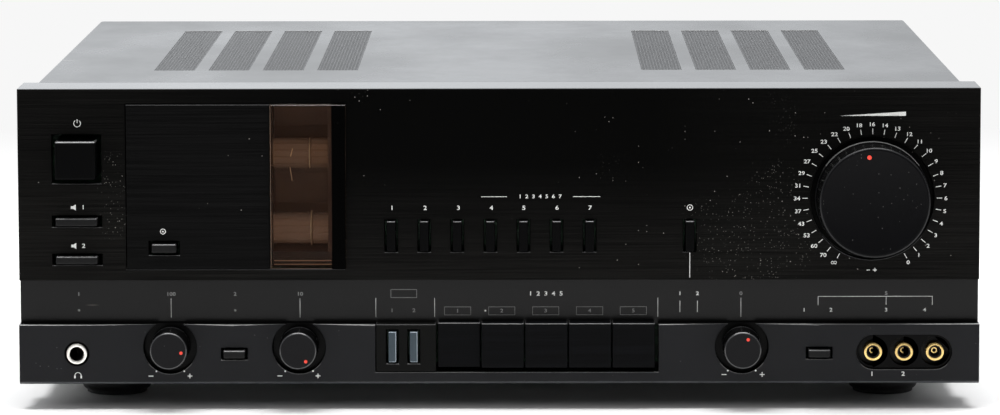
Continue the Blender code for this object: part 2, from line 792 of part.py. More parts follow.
def make_fascia_buttons():
    """Make the buttons that stand in the fascia and in the inset panel."""
    upright = (STEM_THIN, STEM_WIDE)
    flat = (STEM_WIDE, STEM_THIN)
    make_button("power_button", power_place(), POWER_CAP, (-POWER_REACH, CAP_DEPTH_BEHIND),
                (POWER_STEM, POWER_STEM), "black_plastic")
    speaker_depth = (-SPEAKER_REACH, CAP_DEPTH_BEHIND)
    for letter, place in zip("ab", speaker_places()):
        make_button("speaker_" + letter + "_button", place, SPEAKER_CAP, speaker_depth, flat,
                    "black_plastic")
    make_button("heater_button", heater_place(), HEATER_CAP, (-HEATER_REACH, CAP_DEPTH_BEHIND),
                flat, "black_plastic")
    names = [f"record_button_{number}" for number in range(1, RECORD_COUNT + 1)]
    for name, place in zip(names + ["cartridge_button"], record_places()):
        make_button(name, place, RECORD_CAP, (-RECORD_REACH, CAP_DEPTH_BEHIND), upright,
                    "black_plastic")


def input_places():
    """Give the centres and the width of the selector buttons in the bay."""
    left = av_block_x()[1] + INPUT_GAP
    right = bay_x()[1] - INPUT_SIDE_GAP
    pitch = (right - left) / INPUT_COUNT
    z = LOWER_TOP + INPUT_RISE - INPUT_HEIGHT / 2
    places = [(x, z) for x in row((left + right) / 2, pitch, INPUT_COUNT)]
    return places, pitch - INPUT_GAP


def make_lower_buttons():
    """Make the buttons of the lower panel and of the bay."""
    flat = (STEM_WIDE, STEM_THIN)
    upright = (STEM_THIN, STEM_WIDE)
    small_depth = (-LOWER_PROUD - SMALL_REACH, CAP_DEPTH_BEHIND)
    make_button("tone_button", tone_place(), SMALL_CAP, small_depth, flat, "black_plastic")
    make_button("source_button", source_place(), SMALL_CAP, small_depth, flat, "black_plastic")
    av_depth = (-LOWER_PROUD - AV_REACH, CAP_DEPTH_BEHIND)
    for number, place in enumerate(av_places(), start=1):
        make_button(f"av_button_{number}", place, AV_CAP, av_depth, upright, "frosted_plastic")
    places, width = input_places()
    front = -LOWER_PROUD - INPUT_REACH
    for number, place in enumerate(places, start=1):
        sink = LATCH_DEPTH if number == 1 else 0
        make_button(f"input_button_{number}", place, (width, INPUT_HEIGHT),
                    (front, front + INPUT_DEPTH), flat, "black_plastic", sink)


def knob_profile(radius, base_radius, front, back, rounding, bore_end):
    """Give a knob's outline from its face to its rear, with the shaft's bore."""
    bore = SHAFT_RADIUS + GAP
    return [(0, front), (radius - rounding, front), (radius, front - rounding),
            (base_radius, back), (bore, back), (bore, bore_end), (0, bore_end)]


def make_knob(name, place, profile, steps, finish):
    """Turn a knob about its shaft, its face towards the front."""
    knob = turned(name, profile, (place[0], FACE_Y, place[1]), (math.pi / 2, 0, 0), steps)
    dress(knob, finish)
    return knob


def make_shaft(name, place, depth):
    """Make the steel shaft between a knob and its pot."""
    shaft = rod(name, place[0], depth, place[1], SHAFT_RADIUS, STEPS_SMALL)
    dress(shaft, "zinc_steel")
    return shaft


def make_volume_control():
    """Make the volume knob, its shaft and its pot behind the well."""
    place = volume_place()
    bore_end = VOLUME_REACH - KNOB_BORE_LEFT
    profile = knob_profile(VOLUME_FACE_RADIUS, VOLUME_BASE_RADIUS, VOLUME_REACH, -VOLUME_TAIL,
                           VOLUME_ROUNDING, bore_end)
    knob = make_knob("volume_knob", place, profile, STEPS_LARGE, "black_aluminium")
    pot_front = WELL_DEPTH + WELL_WALL + GAP
    shaft_end = pot_front + SHAFT_SEAT
    shaft = make_shaft("volume_shaft", place, (GAP - bore_end, shaft_end))
    ride_on("volume_axis", (place[0], FACE_Y, place[1]), (knob, shaft))
    pot = rod("volume_pot", place[0], (pot_front, pot_front + POT_DEPTH), place[1], POT_RADIUS,
              STEPS_MEDIUM)
    fuse(pot, rod("bushing", place[0], (WELL_DEPTH - BUSHING_REACH, pot_front + BUSHING_REACH),
                  place[1], BUSHING_RADIUS, STEPS_SMALL))
    cut(pot, rod("volume_pot_bore", place[0], (0, shaft_end + GAP), place[1],
                 SHAFT_RADIUS + GAP, STEPS_SMALL))
    dress(pot, "grey_metal")


def make_small_knobs():
    """Make the bass, treble and balance knobs with their shafts."""
    reach = LOWER_PROUD + KNOB_REACH
    back = LOWER_PROUD - POCKET_DEPTH + KNOB_SEAT_GAP
    bore_end = reach - KNOB_BORE_LEFT
    profile = knob_profile(KNOB_RADIUS, KNOB_RADIUS, reach, back, KNOB_ROUNDING, bore_end)
    shaft_end = BOARD_FRONT - SMALL_POT_DEPTH + SHAFT_SEAT
    for name, place in zip(("bass", "treble", "balance"), knob_places()):
        knob = make_knob(name + "_knob", place, profile, STEPS_MEDIUM, "black_plastic")
        shaft = make_shaft(name + "_shaft", place, (GAP - bore_end, shaft_end))
        ride_on(name + "_axis", (place[0], FACE_Y, place[1]), (knob, shaft))


def add_switch(board, place, stem):
    """Fuse a switch housing to a board and open it for the button's stem."""
    name = board.name + "_switch"
    wall = 2 * HOUSING_WALL
    fuse(board, block(name, around(place[0], stem[0] + wall),
                      (HOUSING_FRONT, BOARD_FRONT + BOARD_THICKNESS / 2),
                      around(place[1], stem[1] + wall)))
    cut(board, block(name + "_hole", grown(around(place[0], stem[0]), GAP),
                     (HOUSING_FRONT - OVERRUN, BOARD_BACK + OVERRUN),
                     grown(around(place[1], stem[1]), GAP)))


def add_standoff(board, x, z):
    """Fuse one standoff that reaches back to the frame's web."""
    fuse(board, rod(board.name + "_standoff", x, (BOARD_BACK - BOARD_THICKNESS / 2,
                                                  WEB_FRONT - GAP), z, STANDOFF_RADIUS,
                    STEPS_SMALL))


def make_upper_switch_board():
    """Make the board behind the fascia, which passes under the tubes."""
    low = FASCIA_LOW + UPPER_BOARD_LIFT
    depth = (BOARD_FRONT, BOARD_BACK)
    left = [across(share) for share in UPPER_BOARD_LEFT_SHARES]
    right = [across(share) for share in UPPER_BOARD_RIGHT_SHARES]
    board = block("upper_switch_board", (left[0], right[1]), depth, (low, low + UPPER_BOARD_STRIP))
    fuse(board, block("board_left", left, depth, (low, up_fascia(UPPER_BOARD_LEFT_TOP_SHARE))))
    fuse(board, block("board_right", right, depth, (low, up_fascia(UPPER_BOARD_RIGHT_TOP_SHARE))))
    add_switch(board, power_place(), (POWER_STEM, POWER_STEM))
    for place in (*speaker_places(), heater_place()):
        add_switch(board, place, (STEM_WIDE, STEM_THIN))
    for place in record_places():
        add_switch(board, place, (STEM_THIN, STEM_WIDE))
    for x_share, z_share in UPPER_STANDOFF_SHARES:
        add_standoff(board, across(x_share), up_fascia(z_share))
    dress(board, "circuit_board")


def make_lower_switch_board():
    """Make the board behind the lower panel, with its switches and pots."""
    low = FOOT_HEIGHT + LOWER_BOARD_LIFT
    sides = [across(share) for share in LOWER_BOARD_SIDE_SHARES]
    board = block("lower_switch_board", sides, (BOARD_FRONT, BOARD_BACK),
                  (low, low + LOWER_BOARD_HEIGHT))
    for place in (tone_place(), source_place(), *input_places()[0]):
        add_switch(board, place, (STEM_WIDE, STEM_THIN))
    for place in av_places():
        add_switch(board, place, (STEM_THIN, STEM_WIDE))
    pot_front = BOARD_FRONT - SMALL_POT_DEPTH
    for x, z in knob_places():
        fuse(board, block("small_pot", around(x, SMALL_POT),
                          (pot_front, BOARD_FRONT + BOARD_THICKNESS / 2), around(z, SMALL_POT)))
        cut(board, rod("small_pot_bore", x, (pot_front - OVERRUN, pot_front + SHAFT_SEAT + GAP),
                       z, SHAFT_RADIUS + GAP, STEPS_SMALL))
    for share in LOWER_STANDOFF_SHARES:
        add_standoff(board, across(share), up_lower(LOWER_STANDOFF_ROW_SHARE))
    dress(board, "circuit_board")


def make_headphone_jack():
    """Make the phones socket: a body behind the panel and a bush through it."""
    x, z = phones_place()
    front = FASCIA_THICKNESS + GAP
    mouth = -LOWER_PROUD - PHONES_BUSH_REACH
    body_depth = (front, front + PHONES_BODY_DEPTH)
    jack = block("headphone_jack", around(x, PHONES_BODY), body_depth, around(z, PHONES_BODY))
    fuse(jack, rod("phones_bush", x, (mouth, front + PHONES_END_WALL), z, PHONES_BUSH_RADIUS,
                   STEPS_MEDIUM))
    cut(jack, rod("phones_bore", x, (mouth - OVERRUN, body_depth[1] - PHONES_END_WALL), z,
                  PHONES_BORE_RADIUS, STEPS_MEDIUM))
    dress(jack, "silver")


def make_front_jack_block():
    """Make the three jacks of the front on one body behind the panel."""
    jacks = jack_places()
    middle_x, z = jacks[JACK_COUNT // 2]
    front = FASCIA_THICKNESS + GAP
    body = block("front_jack_block", around(middle_x, JACK_RECESS_WIDTH),
                 (front, front + JACK_BODY_DEPTH), around(z, JACK_BODY_HEIGHT))
    mouth = JACK_SINK - LOWER_PROUD
    for x, z in jacks:
        fuse(body, rod("jack_shell", x, (mouth, front + JACK_BODY_DEPTH / 2), z, JACK_RADIUS,
                       STEPS_MEDIUM))
        cut(body, rod("jack_bore", x, (mouth - OVERRUN, mouth + JACK_BORE_DEPTH), z,
                      JACK_BORE_RADIUS, STEPS_SMALL))
    dress(body, "gold")


def tube_axis_depth():
    """Give the depth of the tubes' axes, just in front of their bracket."""
    return WEB_FRONT - GAP - BRACKET_SHEET - TUBE_SEAT_GAP - TUBE_RADIUS


def tube_root_x():
    """Give the x where the tubes' bases meet their sockets."""
    return across(TUBE_TIP_SHARE) - TUBE_NIPPLE_LENGTH - TUBE_LENGTH


def tube_profile():
    """Give a tube's outline from its nipple down its glass to its base."""
    dome = []
    for index in range(TUBE_DOME_STEPS + 1):
        angle = math.pi / 2 * index / TUBE_DOME_STEPS
        radius = TUBE_NIPPLE_RADIUS + (TUBE_RADIUS - TUBE_NIPPLE_RADIUS) * math.sin(angle)
        height = TUBE_LENGTH - TUBE_RADIUS + (TUBE_RADIUS - TUBE_NIPPLE_RADIUS) * math.cos(angle)
        dome.append((radius, height))
    tip = TUBE_LENGTH + TUBE_NIPPLE_LENGTH
    base = [(TUBE_RADIUS, TUBE_BASE_LENGTH), (TUBE_BASE_RADIUS, TUBE_BASE_LENGTH),
            (TUBE_BASE_RADIUS, 0), (0, 0)]
    return [(0, tip), (TUBE_NIPPLE_RADIUS / 2, tip - TUBE_NIPPLE_RADIUS / 2)] + dome + base


def make_tubes():
    """Make the two tubes, which lie across the window."""
    y = FACE_Y + tube_axis_depth()
    for name, share in zip(("tube_lower", "tube_upper"), TUBE_ROW_SHARES):
        place = (tube_root_x(), y, up_fascia(share))
        tube = turned(name, tube_profile(), place, (0, math.pi / 2, 0), STEPS_MEDIUM)
        dress(tube, "clear_glass")


def make_tube_bracket():
    """Fold the bracket: a back plate, an ear on the left and two sockets."""
    low = up_fascia(BRACKET_LOW_SHARE)
    z = (low, BODY_TOP - BRACKET_DROP)
    back = WEB_FRONT - GAP
    socket_x = (tube_root_x() - GAP - SOCKET_LENGTH, tube_root_x() - GAP)
    left = socket_x[0] - BRACKET_SHEET
    bracket = block("tube_bracket", (left, across(BRACKET_RIGHT_SHARE)),
                    (back - BRACKET_SHEET, back), z)
    ear_front = tube_axis_depth() - SOCKET_RADIUS
    fuse(bracket, block("bracket_ear", (left, socket_x[0]), (ear_front, back), z))
    for share in TUBE_ROW_SHARES:
        socket = rod("socket", 0, around(0, SOCKET_LENGTH + BRACKET_SHEET), 0, SOCKET_RADIUS,
                     STEPS_MEDIUM)
        socket.rotation_euler = (0, 0, math.pi / 2)
        middle = (left + socket_x[1]) / 2
        socket.location = (middle, FACE_Y + tube_axis_depth(), up_fascia(share))
        fuse(bracket, socket)
    dress(bracket, "copper")


def make_transformer():
    """Make the mains transformer: an iron core around its coil."""
    depth = behind(CORE_DEPTH_SHARE)
    low = PAN_FLOOR + GAP
    middle_z = low + CORE_SIZE[2] / 2
    core = block("transformer", around(0, CORE_SIZE[0]), around(depth, CORE_SIZE[1]),
                 around(middle_z, CORE_SIZE[2]))
    coil = block("coil", around(0, COIL_SIZE[0]), around(depth, COIL_SIZE[1]),
                 around(middle_z, COIL_SIZE[2]))
    bevel(coil, SHEET)
    fuse(core, coil)
    dress(core, "core_iron")


def make_main_board():
    """Make the main board, which stands on the pan's floor."""
    half = INSIDE_HALF_WIDTH - MAIN_BOARD_SIDE_INSET
    depth = [behind(share) for share in MAIN_BOARD_DEPTH_SHARES]
    low = PAN_FLOOR + MAIN_BOARD_LIFT
    board = block("main_board", (-half, half), depth, (low, low + BOARD_THICKNESS))
    for x_share, depth_share in MAIN_STANDOFF_SHARES:
        x = across(x_share)
        y = behind(depth_share)
        post = block("board_post", around(x, 2 * STANDOFF_RADIUS), around(y, 2 * STANDOFF_RADIUS),
                     (PAN_FLOOR + GAP, low + BOARD_THICKNESS / 2))
        fuse(board, post)
    dress(board, "circuit_board")


def make_capacitors():
    """Stand the two reservoir capacitors on the main board."""
    top = CAN_HEIGHT
    profile = [(0, top), (CAN_RADIUS - CAN_ROUNDING, top), (CAN_RADIUS, top - CAN_ROUNDING),
               (CAN_RADIUS, 0), (0, 0)]
    y = FACE_Y + behind(CAN_DEPTH_SHARE)
    z = MAIN_BOARD_TOP + GAP
    for name, side in (("capacitor_left", -1), ("capacitor_right", 1)):
        can = turned(name, profile, (side * across(CAN_COLUMN_SHARE), y, z), (0, 0, 0),
                     STEPS_MEDIUM)
        dress(can, "can_sleeve")


def sink_outline(side):
    """Give a heat sink's outline from above: a base with fins to one side."""
    pitch = (SINK_LENGTH - SINK_FIN) / (SINK_FINS - 1)
    points = [(0, SINK_LENGTH), (0, 0)]
    for index in range(SINK_FINS):
        start = index * pitch
        tip = SINK_BASE + SINK_FIN_LENGTH
        points += [(side * tip, start), (side * tip, start + SINK_FIN)]
        if index < SINK_FINS - 1:
            points += [(side * SINK_BASE, start + SINK_FIN), (side * SINK_BASE, start + pitch)]
    return points


def make_heat_sinks():
    """Stand a finned heat sink under each group of vents."""
    y = FACE_Y + behind(SINK_FRONT_SHARE)
    z = MAIN_BOARD_TOP + GAP + SINK_HEIGHT / 2
    for name, side in (("heat_sink_left", -1), ("heat_sink_right", 1)):
        x = side * across(SINK_INNER_SHARE)
        sink = outline_solid(name, sink_outline(side), (x, y, z), SINK_HEIGHT)
        dress(sink, "grey_metal")


def rear_z(share):
    """Give z for a share of the body's height."""
    return FOOT_HEIGHT + share * BODY_HEIGHT


def line_block_centre():
    """Give the centre of the line jacks on the rear."""
    return (across(LINE_COLUMN_SHARE), rear_z(REAR_ROW_SHARE))


def speaker_block_centre():
    """Give the centre of the speaker terminals on the rear."""
    return (across(SPEAKER_BLOCK_SHARE), rear_z(REAR_ROW_SHARE))


def inlet_centre():
    """Give the centre of the mains inlet on the rear."""
    return (across(INLET_PLACE_SHARES[0]), rear_z(INLET_PLACE_SHARES[1]))


def rear_block(name, centre, size, finish):
    """Make a terminal block that sits in the rear panel from the inside."""
    flange_rear = REAR_PANEL_FRONT - GAP
    face = REAR_PANEL_BACK + REAR_BLOCK_PROUD
    body = block(name, around(centre[0], size[0]), (flange_rear - REAR_FLANGE / 2, face),
                 around(centre[1], size[1]))
    fuse(body, block(name + "_flange", grown(around(centre[0], size[0]), REAR_FLANGE_MARGIN),
                     (flange_rear - REAR_FLANGE, flange_rear),
                     grown(around(centre[1], size[1]), REAR_FLANGE_MARGIN)))
    dress(body, finish)
    return body, face


def make_rear_jack_block():
    """Make the line jacks of the rear on their block."""
    centre = line_block_centre()
    body, face = rear_block("rear_jack_block", centre, LINE_BLOCK, "black_plastic")
    for x in row(centre[0], LINE_PITCH[0], LINE_JACKS[0]):
        for z in row(centre[1], LINE_PITCH[1], LINE_JACKS[1]):
            fuse(body, rod("line_jack", x, (face - REAR_BLOCK_PROUD, face + LINE_JACK_LENGTH), z,
                           JACK_RADIUS, STEPS_SMALL))


def make_speaker_terminals():
    """Make the speaker terminals of the rear on their block."""
    centre = speaker_block_centre()
    body, face = rear_block("speaker_terminals", centre, SPEAKER_BLOCK, "black_plastic")
    end = BODY_DEPTH + TERMINAL_REACH
    for x in row(centre[0], SPEAKER_POST_PITCH[0], SPEAKER_POSTS[0]):
        for z in row(centre[1], SPEAKER_POST_PITCH[1], SPEAKER_POSTS[1]):
            fuse(body, rod("speaker_post", x, (face - REAR_BLOCK_PROUD, end), z,
                           SPEAKER_POST_RADIUS, STEPS_SMALL))


def make_mains_inlet():
    """Make the mains inlet, put in from behind with its flange on the panel."""
    x, z = inlet_centre()
    flange_front = REAR_PANEL_BACK + GAP
    rear = flange_front + INLET_FLANGE_THICKNESS
    inlet = block("mains_inlet", around(x, INLET_BODY[0]), (rear - INLET_DEPTH, rear),
                  around(z, INLET_BODY[1]))
    fuse(inlet, block("inlet_flange", around(x, INLET_FLANGE[0]), (flange_front, rear),
                      around(z, INLET_FLANGE[1])))
    cut(inlet, block("inlet_recess", around(x, INLET_RECESS[0]),
                     (rear - INLET_RECESS_DEPTH, rear + OVERRUN), around(z, INLET_RECESS[1])))
    dress(inlet, "black_plastic")


def make_amplifier():
    """Make every sub-part in its place."""
    make_feet()
    make_chassis_pan()
    make_rear_panel()
    make_front_frame()
    make_top_cover()
    make_fascia()
    make_inset_panel()
    make_tube_window()
    make_indicator_strip()
    make_lower_panel()
    make_av_block()
    make_fascia_buttons()
    make_lower_buttons()
    make_volume_control()
    make_small_knobs()
    make_upper_switch_board()
    make_lower_switch_board()
    make_headphone_jack()
    make_front_jack_block()
    make_tubes()
    make_tube_bracket()
    make_transformer()
    make_main_board()
    make_capacitors()
    make_heat_sinks()
    make_rear_jack_block()
    make_speaker_terminals()
    make_mains_inlet()


make_amplifier()
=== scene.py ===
"""Looks of an integrated amplifier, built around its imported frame.

Metres, +Z up. The front faces -Y. Depth means the distance behind the face
of the fascia, so a negative depth stands out in front of it.
"""

import json
import logging
import math
from collections.abc import Callable, Iterator, Mapping, Sequence
from contextlib import contextmanager
from dataclasses import dataclass, field
from enum import Enum

import bmesh
import bpy
from mathutils import Matrix, Vector

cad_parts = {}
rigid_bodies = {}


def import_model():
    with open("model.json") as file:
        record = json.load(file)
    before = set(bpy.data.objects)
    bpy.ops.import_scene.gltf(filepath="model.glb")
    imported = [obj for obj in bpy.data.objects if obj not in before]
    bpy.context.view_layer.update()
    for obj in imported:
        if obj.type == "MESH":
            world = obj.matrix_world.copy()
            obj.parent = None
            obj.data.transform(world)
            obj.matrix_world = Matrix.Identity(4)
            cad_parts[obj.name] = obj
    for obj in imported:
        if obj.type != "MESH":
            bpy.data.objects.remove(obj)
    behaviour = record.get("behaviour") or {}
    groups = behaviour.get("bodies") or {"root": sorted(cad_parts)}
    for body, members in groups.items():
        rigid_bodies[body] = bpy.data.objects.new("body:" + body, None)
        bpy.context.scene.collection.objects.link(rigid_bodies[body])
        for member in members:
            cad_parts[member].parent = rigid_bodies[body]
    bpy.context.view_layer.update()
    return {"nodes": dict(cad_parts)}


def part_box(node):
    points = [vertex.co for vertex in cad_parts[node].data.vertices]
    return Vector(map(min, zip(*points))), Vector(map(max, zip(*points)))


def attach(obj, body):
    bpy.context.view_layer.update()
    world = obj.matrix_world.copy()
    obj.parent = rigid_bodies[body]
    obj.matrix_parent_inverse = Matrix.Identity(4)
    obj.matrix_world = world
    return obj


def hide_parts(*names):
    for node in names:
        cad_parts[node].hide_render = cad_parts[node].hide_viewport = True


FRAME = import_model()
LOG = logging.getLogger("amplifier")

MM = 0.001
FACE_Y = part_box("fascia")[0].y
ROOT = "amplifier"
INK_THICKNESS = 0.05 * MM
MERGE = 0.005 * MM
DIGIT_SHARE = 0.70
DIGIT_WIDENING = 1.22
DIGIT_WEIGHT = 0.022
SQUARE = 0.9
# How far up a rounding must face to keep its painted highlight or glint.
PAINTED_HIGHLIGHT_SLOPE = 0.25
PHONES_X = -192.7 * MM
PHONES_Z = 25.8 * MM
FRONT_PHONOS = (170.6 * MM, 184.7 * MM, 198.8 * MM)
FRONT_PHONO_Z = 26.2 * MM
REAR_FACE = FACE_Y + 373.5 * MM
PHONO_PITCH = 16.5 * MM
POST_PITCH = 24.0 * MM

Colour = tuple[float, float, float]
Span = tuple[float, float]
Step = tuple[float, float]
Step3 = tuple[float, float, float]


class Axis(Enum):
    """The direction that a turned piece's axis runs in."""

    WIDTH = (1.0, 0.0, 0.0)
    DEPTH = (0.0, 1.0, 0.0)
    HEIGHT = (0.0, 0.0, 1.0)

    @property
    def vector(self) -> Vector:
        """Give the axis as a vector."""
        return Vector(self.value)

    @property
    def turn(self) -> tuple[float, float, float]:
        """Give the rotation that lays a circle square to the axis.

        Returns:
            The rotation about x, y and z.
        """
        turns = {
            Axis.WIDTH: (0.0, math.pi / 2, 0.0),
            Axis.DEPTH: (-math.pi / 2, 0.0, 0.0),
            Axis.HEIGHT: (0.0, 0.0, 0.0),
        }
        return turns[self]


class Facing(Enum):
    """The side that print is read from."""

    FRONT = (math.pi / 2, 0.0, 0.0)
    REAR = (math.pi / 2, 0.0, math.pi)


# Shader maths


class Wire:
    """A number in a shader that takes part in sums."""

    def __init__(self, nodes: "Nodes", socket: bpy.types.NodeSocket) -> None:
        """Wrap an output that carries the number."""
        self.nodes = nodes
        self.socket = socket

    def _sum(self, operation: str, first: object, second: object) -> "Wire":
        """Add one Math node for two numbers or wires, and give its result."""
        node = self.nodes.node("ShaderNodeMath", {"operation": operation}, {0: first, 1: second})
        return Wire(self.nodes, node.outputs[0])

    def __add__(self, other: object) -> "Wire":
        """Add a number or a wire."""
        return self._sum("ADD", self, other)

    __radd__ = __add__

    def __sub__(self, other: object) -> "Wire":
        """Take a number or a wire away."""
        return self._sum("SUBTRACT", self, other)

    def __rsub__(self, other: object) -> "Wire":
        """Take this from a number or a wire."""
        return self._sum("SUBTRACT", other, self)

    def __mul__(self, other: object) -> "Wire":
        """Multiply by a number or a wire."""
        return self._sum("MULTIPLY", self, other)

    __rmul__ = __mul__

    def __gt__(self, other: object) -> "Wire":
        """Give 1 where this is above a number or a wire."""
        return self._sum("GREATER_THAN", self, other)

    def __lt__(self, other: object) -> "Wire":
        """Give 1 where this is under a number or a wire."""
        return self._sum("LESS_THAN", self, other)

    def larger(self, other: object) -> "Wire":
        """Give the larger of this and a number or a wire."""
        return self._sum("MAXIMUM", self, other)

    def size(self) -> "Wire":
        """Give the number without its sign."""
        return self._sum("ABSOLUTE", self, 0.0)

    def raised(self, power: float) -> "Wire":
        """Raise the number to a power."""
        return self._sum("POWER", self, power)


class Nodes:
    """A node tree that is being written."""

    def __init__(self, tree: bpy.types.NodeTree) -> None:
        """Start without nodes."""
        self.tree = tree
        tree.nodes.clear()

    def node(self, kind: str, settings: Mapping[str, object] | None = None,
             inputs: Mapping[object, object] | None = None) -> bpy.types.Node:
        """Add a node, set it up and feed it.

        Args:
            kind: the node's type.
            settings: its own settings.
            inputs: a value, wire or socket for each named or numbered input.

        Returns:
            The new node.
        """
        node = self.tree.nodes.new(kind)
        for key, value in (settings or {}).items():
            setattr(node, key, value)
        for key, value in (inputs or {}).items():
            self.feed(node.inputs[key], value)
        return node

    def feed(self, socket: bpy.types.NodeSocket, value: object) -> None:
        """Link one input to a wire or an output, or set it to a colour or a number.

        Args:
            socket: the input.
            value: a wire, an output, a colour or a number.
        """
        if isinstance(value, Wire):
            value = value.socket
        if isinstance(value, bpy.types.NodeSocket):
            self.tree.links.new(value, socket)
        elif socket.type == "RGBA":
            socket.default_value = (*value[:3], 1.0)
        else:
            socket.default_value = value

    def fit(self, value: object, low: float, high: float, start: float = 0.0,
            end: float = 1.0, shape: str = "LINEAR") -> Wire:
        """Map a number's range to another, held at both ends.

        Args:
            value: the wire to map.
            low: where it starts.
            high: where it ends.
            start: what it gives at its start.
            end: what it gives at its end.
            shape: how it runs between them.

        Returns:
            The mapped number.
        """
        node = self.node("ShaderNodeMapRange", {"interpolation_type": shape}, {
            "Value": value, "From Min": low, "From Max": high, "To Min": start, "To Max": end})
        return Wire(self, node.outputs[0])

    def blend(self, factor: object, first: object, second: object) -> bpy.types.NodeSocket:
        """Mix two shaders: 0 gives the first, 1 the second."""
        return self.node("ShaderNodeMixShader", inputs={0: factor, 1: first, 2: second}).outputs[0]


class Recipe(Nodes):
    """A material that is being written: its nodes, and the shader they feed."""

    def __init__(self, name: str) -> None:
        """Start a material with one shader.

        Args:
            name: the material's name.
        """
        self.material = bpy.data.materials.new(name)
        self.material.use_nodes = True
        super().__init__(self.material.node_tree)
        self.shader = self.node("ShaderNodeBsdfPrincipled")
        self.output = self.node("ShaderNodeOutputMaterial",
                                inputs={"Surface": self.shader.outputs[0]})

    def place(self, stretch: Sequence[float] = (1.0, 1.0, 1.0),
              shift: Sequence[float] = (0.0, 0.0, 0.0)) -> bpy.types.NodeSocket:
        """Give the place on the piece, stretched along each axis and then shifted.

        Args:
            stretch: the scale along each axis.
            shift: what is added after that.

        Returns:
            The output with the place.
        """
        coordinates = self.node("ShaderNodeTexCoord")
        mapping = self.node("ShaderNodeMapping", inputs={
            "Vector": coordinates.outputs["Object"], "Scale": tuple(stretch),
            "Location": tuple(shift)})
        return mapping.outputs[0]

    def along(self, axis: Axis) -> Wire:
        """Give the place along one axis, in metres."""
        return self.part_of(self.place(), list(Axis).index(axis))

    def part_of(self, socket: bpy.types.NodeSocket, index: int) -> Wire:
        """Give one of the three numbers of a place or colour."""
        parts = self.node("ShaderNodeSeparateXYZ", inputs={0: socket})
        return Wire(self, parts.outputs[index])

    def noise(self, scale: float, detail: float = 3.0, rough: float = 0.5,
              stretch: Sequence[float] = (1.0, 1.0, 1.0),
              shift: Sequence[float] = (0.0, 0.0, 0.0)) -> Wire:
        """Give smooth noise from 0 to 1.

        Args:
            scale: how many features stand in a metre.
            detail: how many finer layers it has.
            rough: how strong these are.
            stretch: the scale along each axis.
            shift: moves it, so that two patterns differ.

        Returns:
            The noise.
        """
        node = self.node("ShaderNodeTexNoise", inputs={
            "Vector": self.place(stretch, shift), "Scale": scale, "Detail": detail,
            "Roughness": rough})
        return Wire(self, node.outputs[0])

    def cells(self, scale: float, spread: float = 1.0,
              stretch: Sequence[float] = (1.0, 1.0, 1.0)) -> bpy.types.Node:
        """Give a Voronoi node: distance first, then a colour for each cell."""
        return self.node("ShaderNodeTexVoronoi", inputs={
            "Vector": self.place(stretch), "Scale": scale, "Randomness": spread})

    def mix(self, factor: object, first: object, second: object) -> bpy.types.NodeSocket:
        """Mix two colours: 0 gives the first, 1 the second."""
        node = self.node("ShaderNodeMix", {"data_type": "RGBA"}, {0: factor, 6: first, 7: second})
        return node.outputs[2]

    def specks(self, scale: float, share: float, size: float) -> Wire:
        """Give small round specks of dust, 1 on a speck and 0 beside it.

        Args:
            scale: how many cells stand in a metre.
            share: the share of cells that hold a speck.
            size: the speck's radius as a share of its cell.

        Returns:
            The mask.
        """
        cells = self.cells(scale)
        held = self.part_of(cells.outputs["Color"], 0) < share
        return self.fit(cells.outputs["Distance"], size, size * 0.5) * held

    def scratches(self, scale: float, share: float) -> Wire:
        """Give short thin scratches, 1 on a scratch and 0 beside it.

        Args:
            scale: how many cells stand in a metre.
            share: the share of cells that hold a scratch.

        Returns:
            The mask.
        """
        cells = self.cells(scale, stretch=(0.25, 0.9, 3.2))
        held = self.part_of(cells.outputs["Color"], 1) < share
        return self.fit(cells.outputs["Distance"], 0.06, 0.02) * held

    def bump(self, height: object, depth: float, strength: float = 1.0) -> bpy.types.NodeSocket:
        """Turn a height from 0 to 1 into a normal, as if 1 stood a depth in metres above 0.

        Args:
            height: the wire with the height, from 0 to 1.
            depth: how far 1 stands above 0, in metres.
            strength: how much of it shows.

        Returns:
            The output with the normal.
        """
        node = self.node("ShaderNodeBump", inputs={
            "Height": height, "Distance": depth, "Strength": strength})
        return node.outputs[0]

    def set(self, **values: object) -> bpy.types.Material:
        """Feed the shader's inputs, named with underscores for spaces, and give the material.

        Args:
            values: the inputs, such as Base_Color or Roughness.

        Returns:
            The finished material.
        """
        for key, value in values.items():
            self.feed(self.shader.inputs[key.replace("_", " ")], value)
        return self.material


# Finishes


def shade(colour: Colour, ratio: float) -> Colour:
    """Make a colour lighter or darker."""
    return tuple(ratio * part for part in colour)


@dataclass(frozen=True)
class SatinPaint:
    """Baked satin paint on sheet steel, with handling marks and dust."""

    name: str
    colour: Colour = (0.030, 0.031, 0.032)
    roughness: float = 0.34
    refraction: float = 1.7
    smears: float = 0.16
    peel: float = 0.012 * MM

    def make(self) -> bpy.types.Material:
        """Write the material.

        Returns:
            The new material.
        """
        recipe = Recipe(self.name)
        smear = recipe.fit(recipe.noise(9.0, 5.0, 0.6, (1.0, 0.45, 1.0)), 0.35, 0.75)
        cloud = recipe.noise(42.0, 4.0, 0.55, shift=(3.0, 1.0, 0.0))
        fine = recipe.noise(1400.0, 2.0)
        dust = recipe.specks(170.0, 0.10, 0.035)
        scratch = recipe.scratches(26.0, 0.16)
        base = recipe.mix(cloud, self.colour, shade(self.colour, 1.7))
        base = recipe.mix(dust * 0.5 + scratch * 0.25, base, (0.42, 0.41, 0.39))
        rough = self.roughness + self.smears * smear + 0.05 * cloud + 0.2 * dust
        height = 0.7 * fine + 0.3 * recipe.noise(380.0, 2.0) - 0.12 * scratch
        return recipe.set(Base_Color=base, Roughness=rough, IOR=self.refraction,
                          Normal=recipe.bump(height, self.peel))


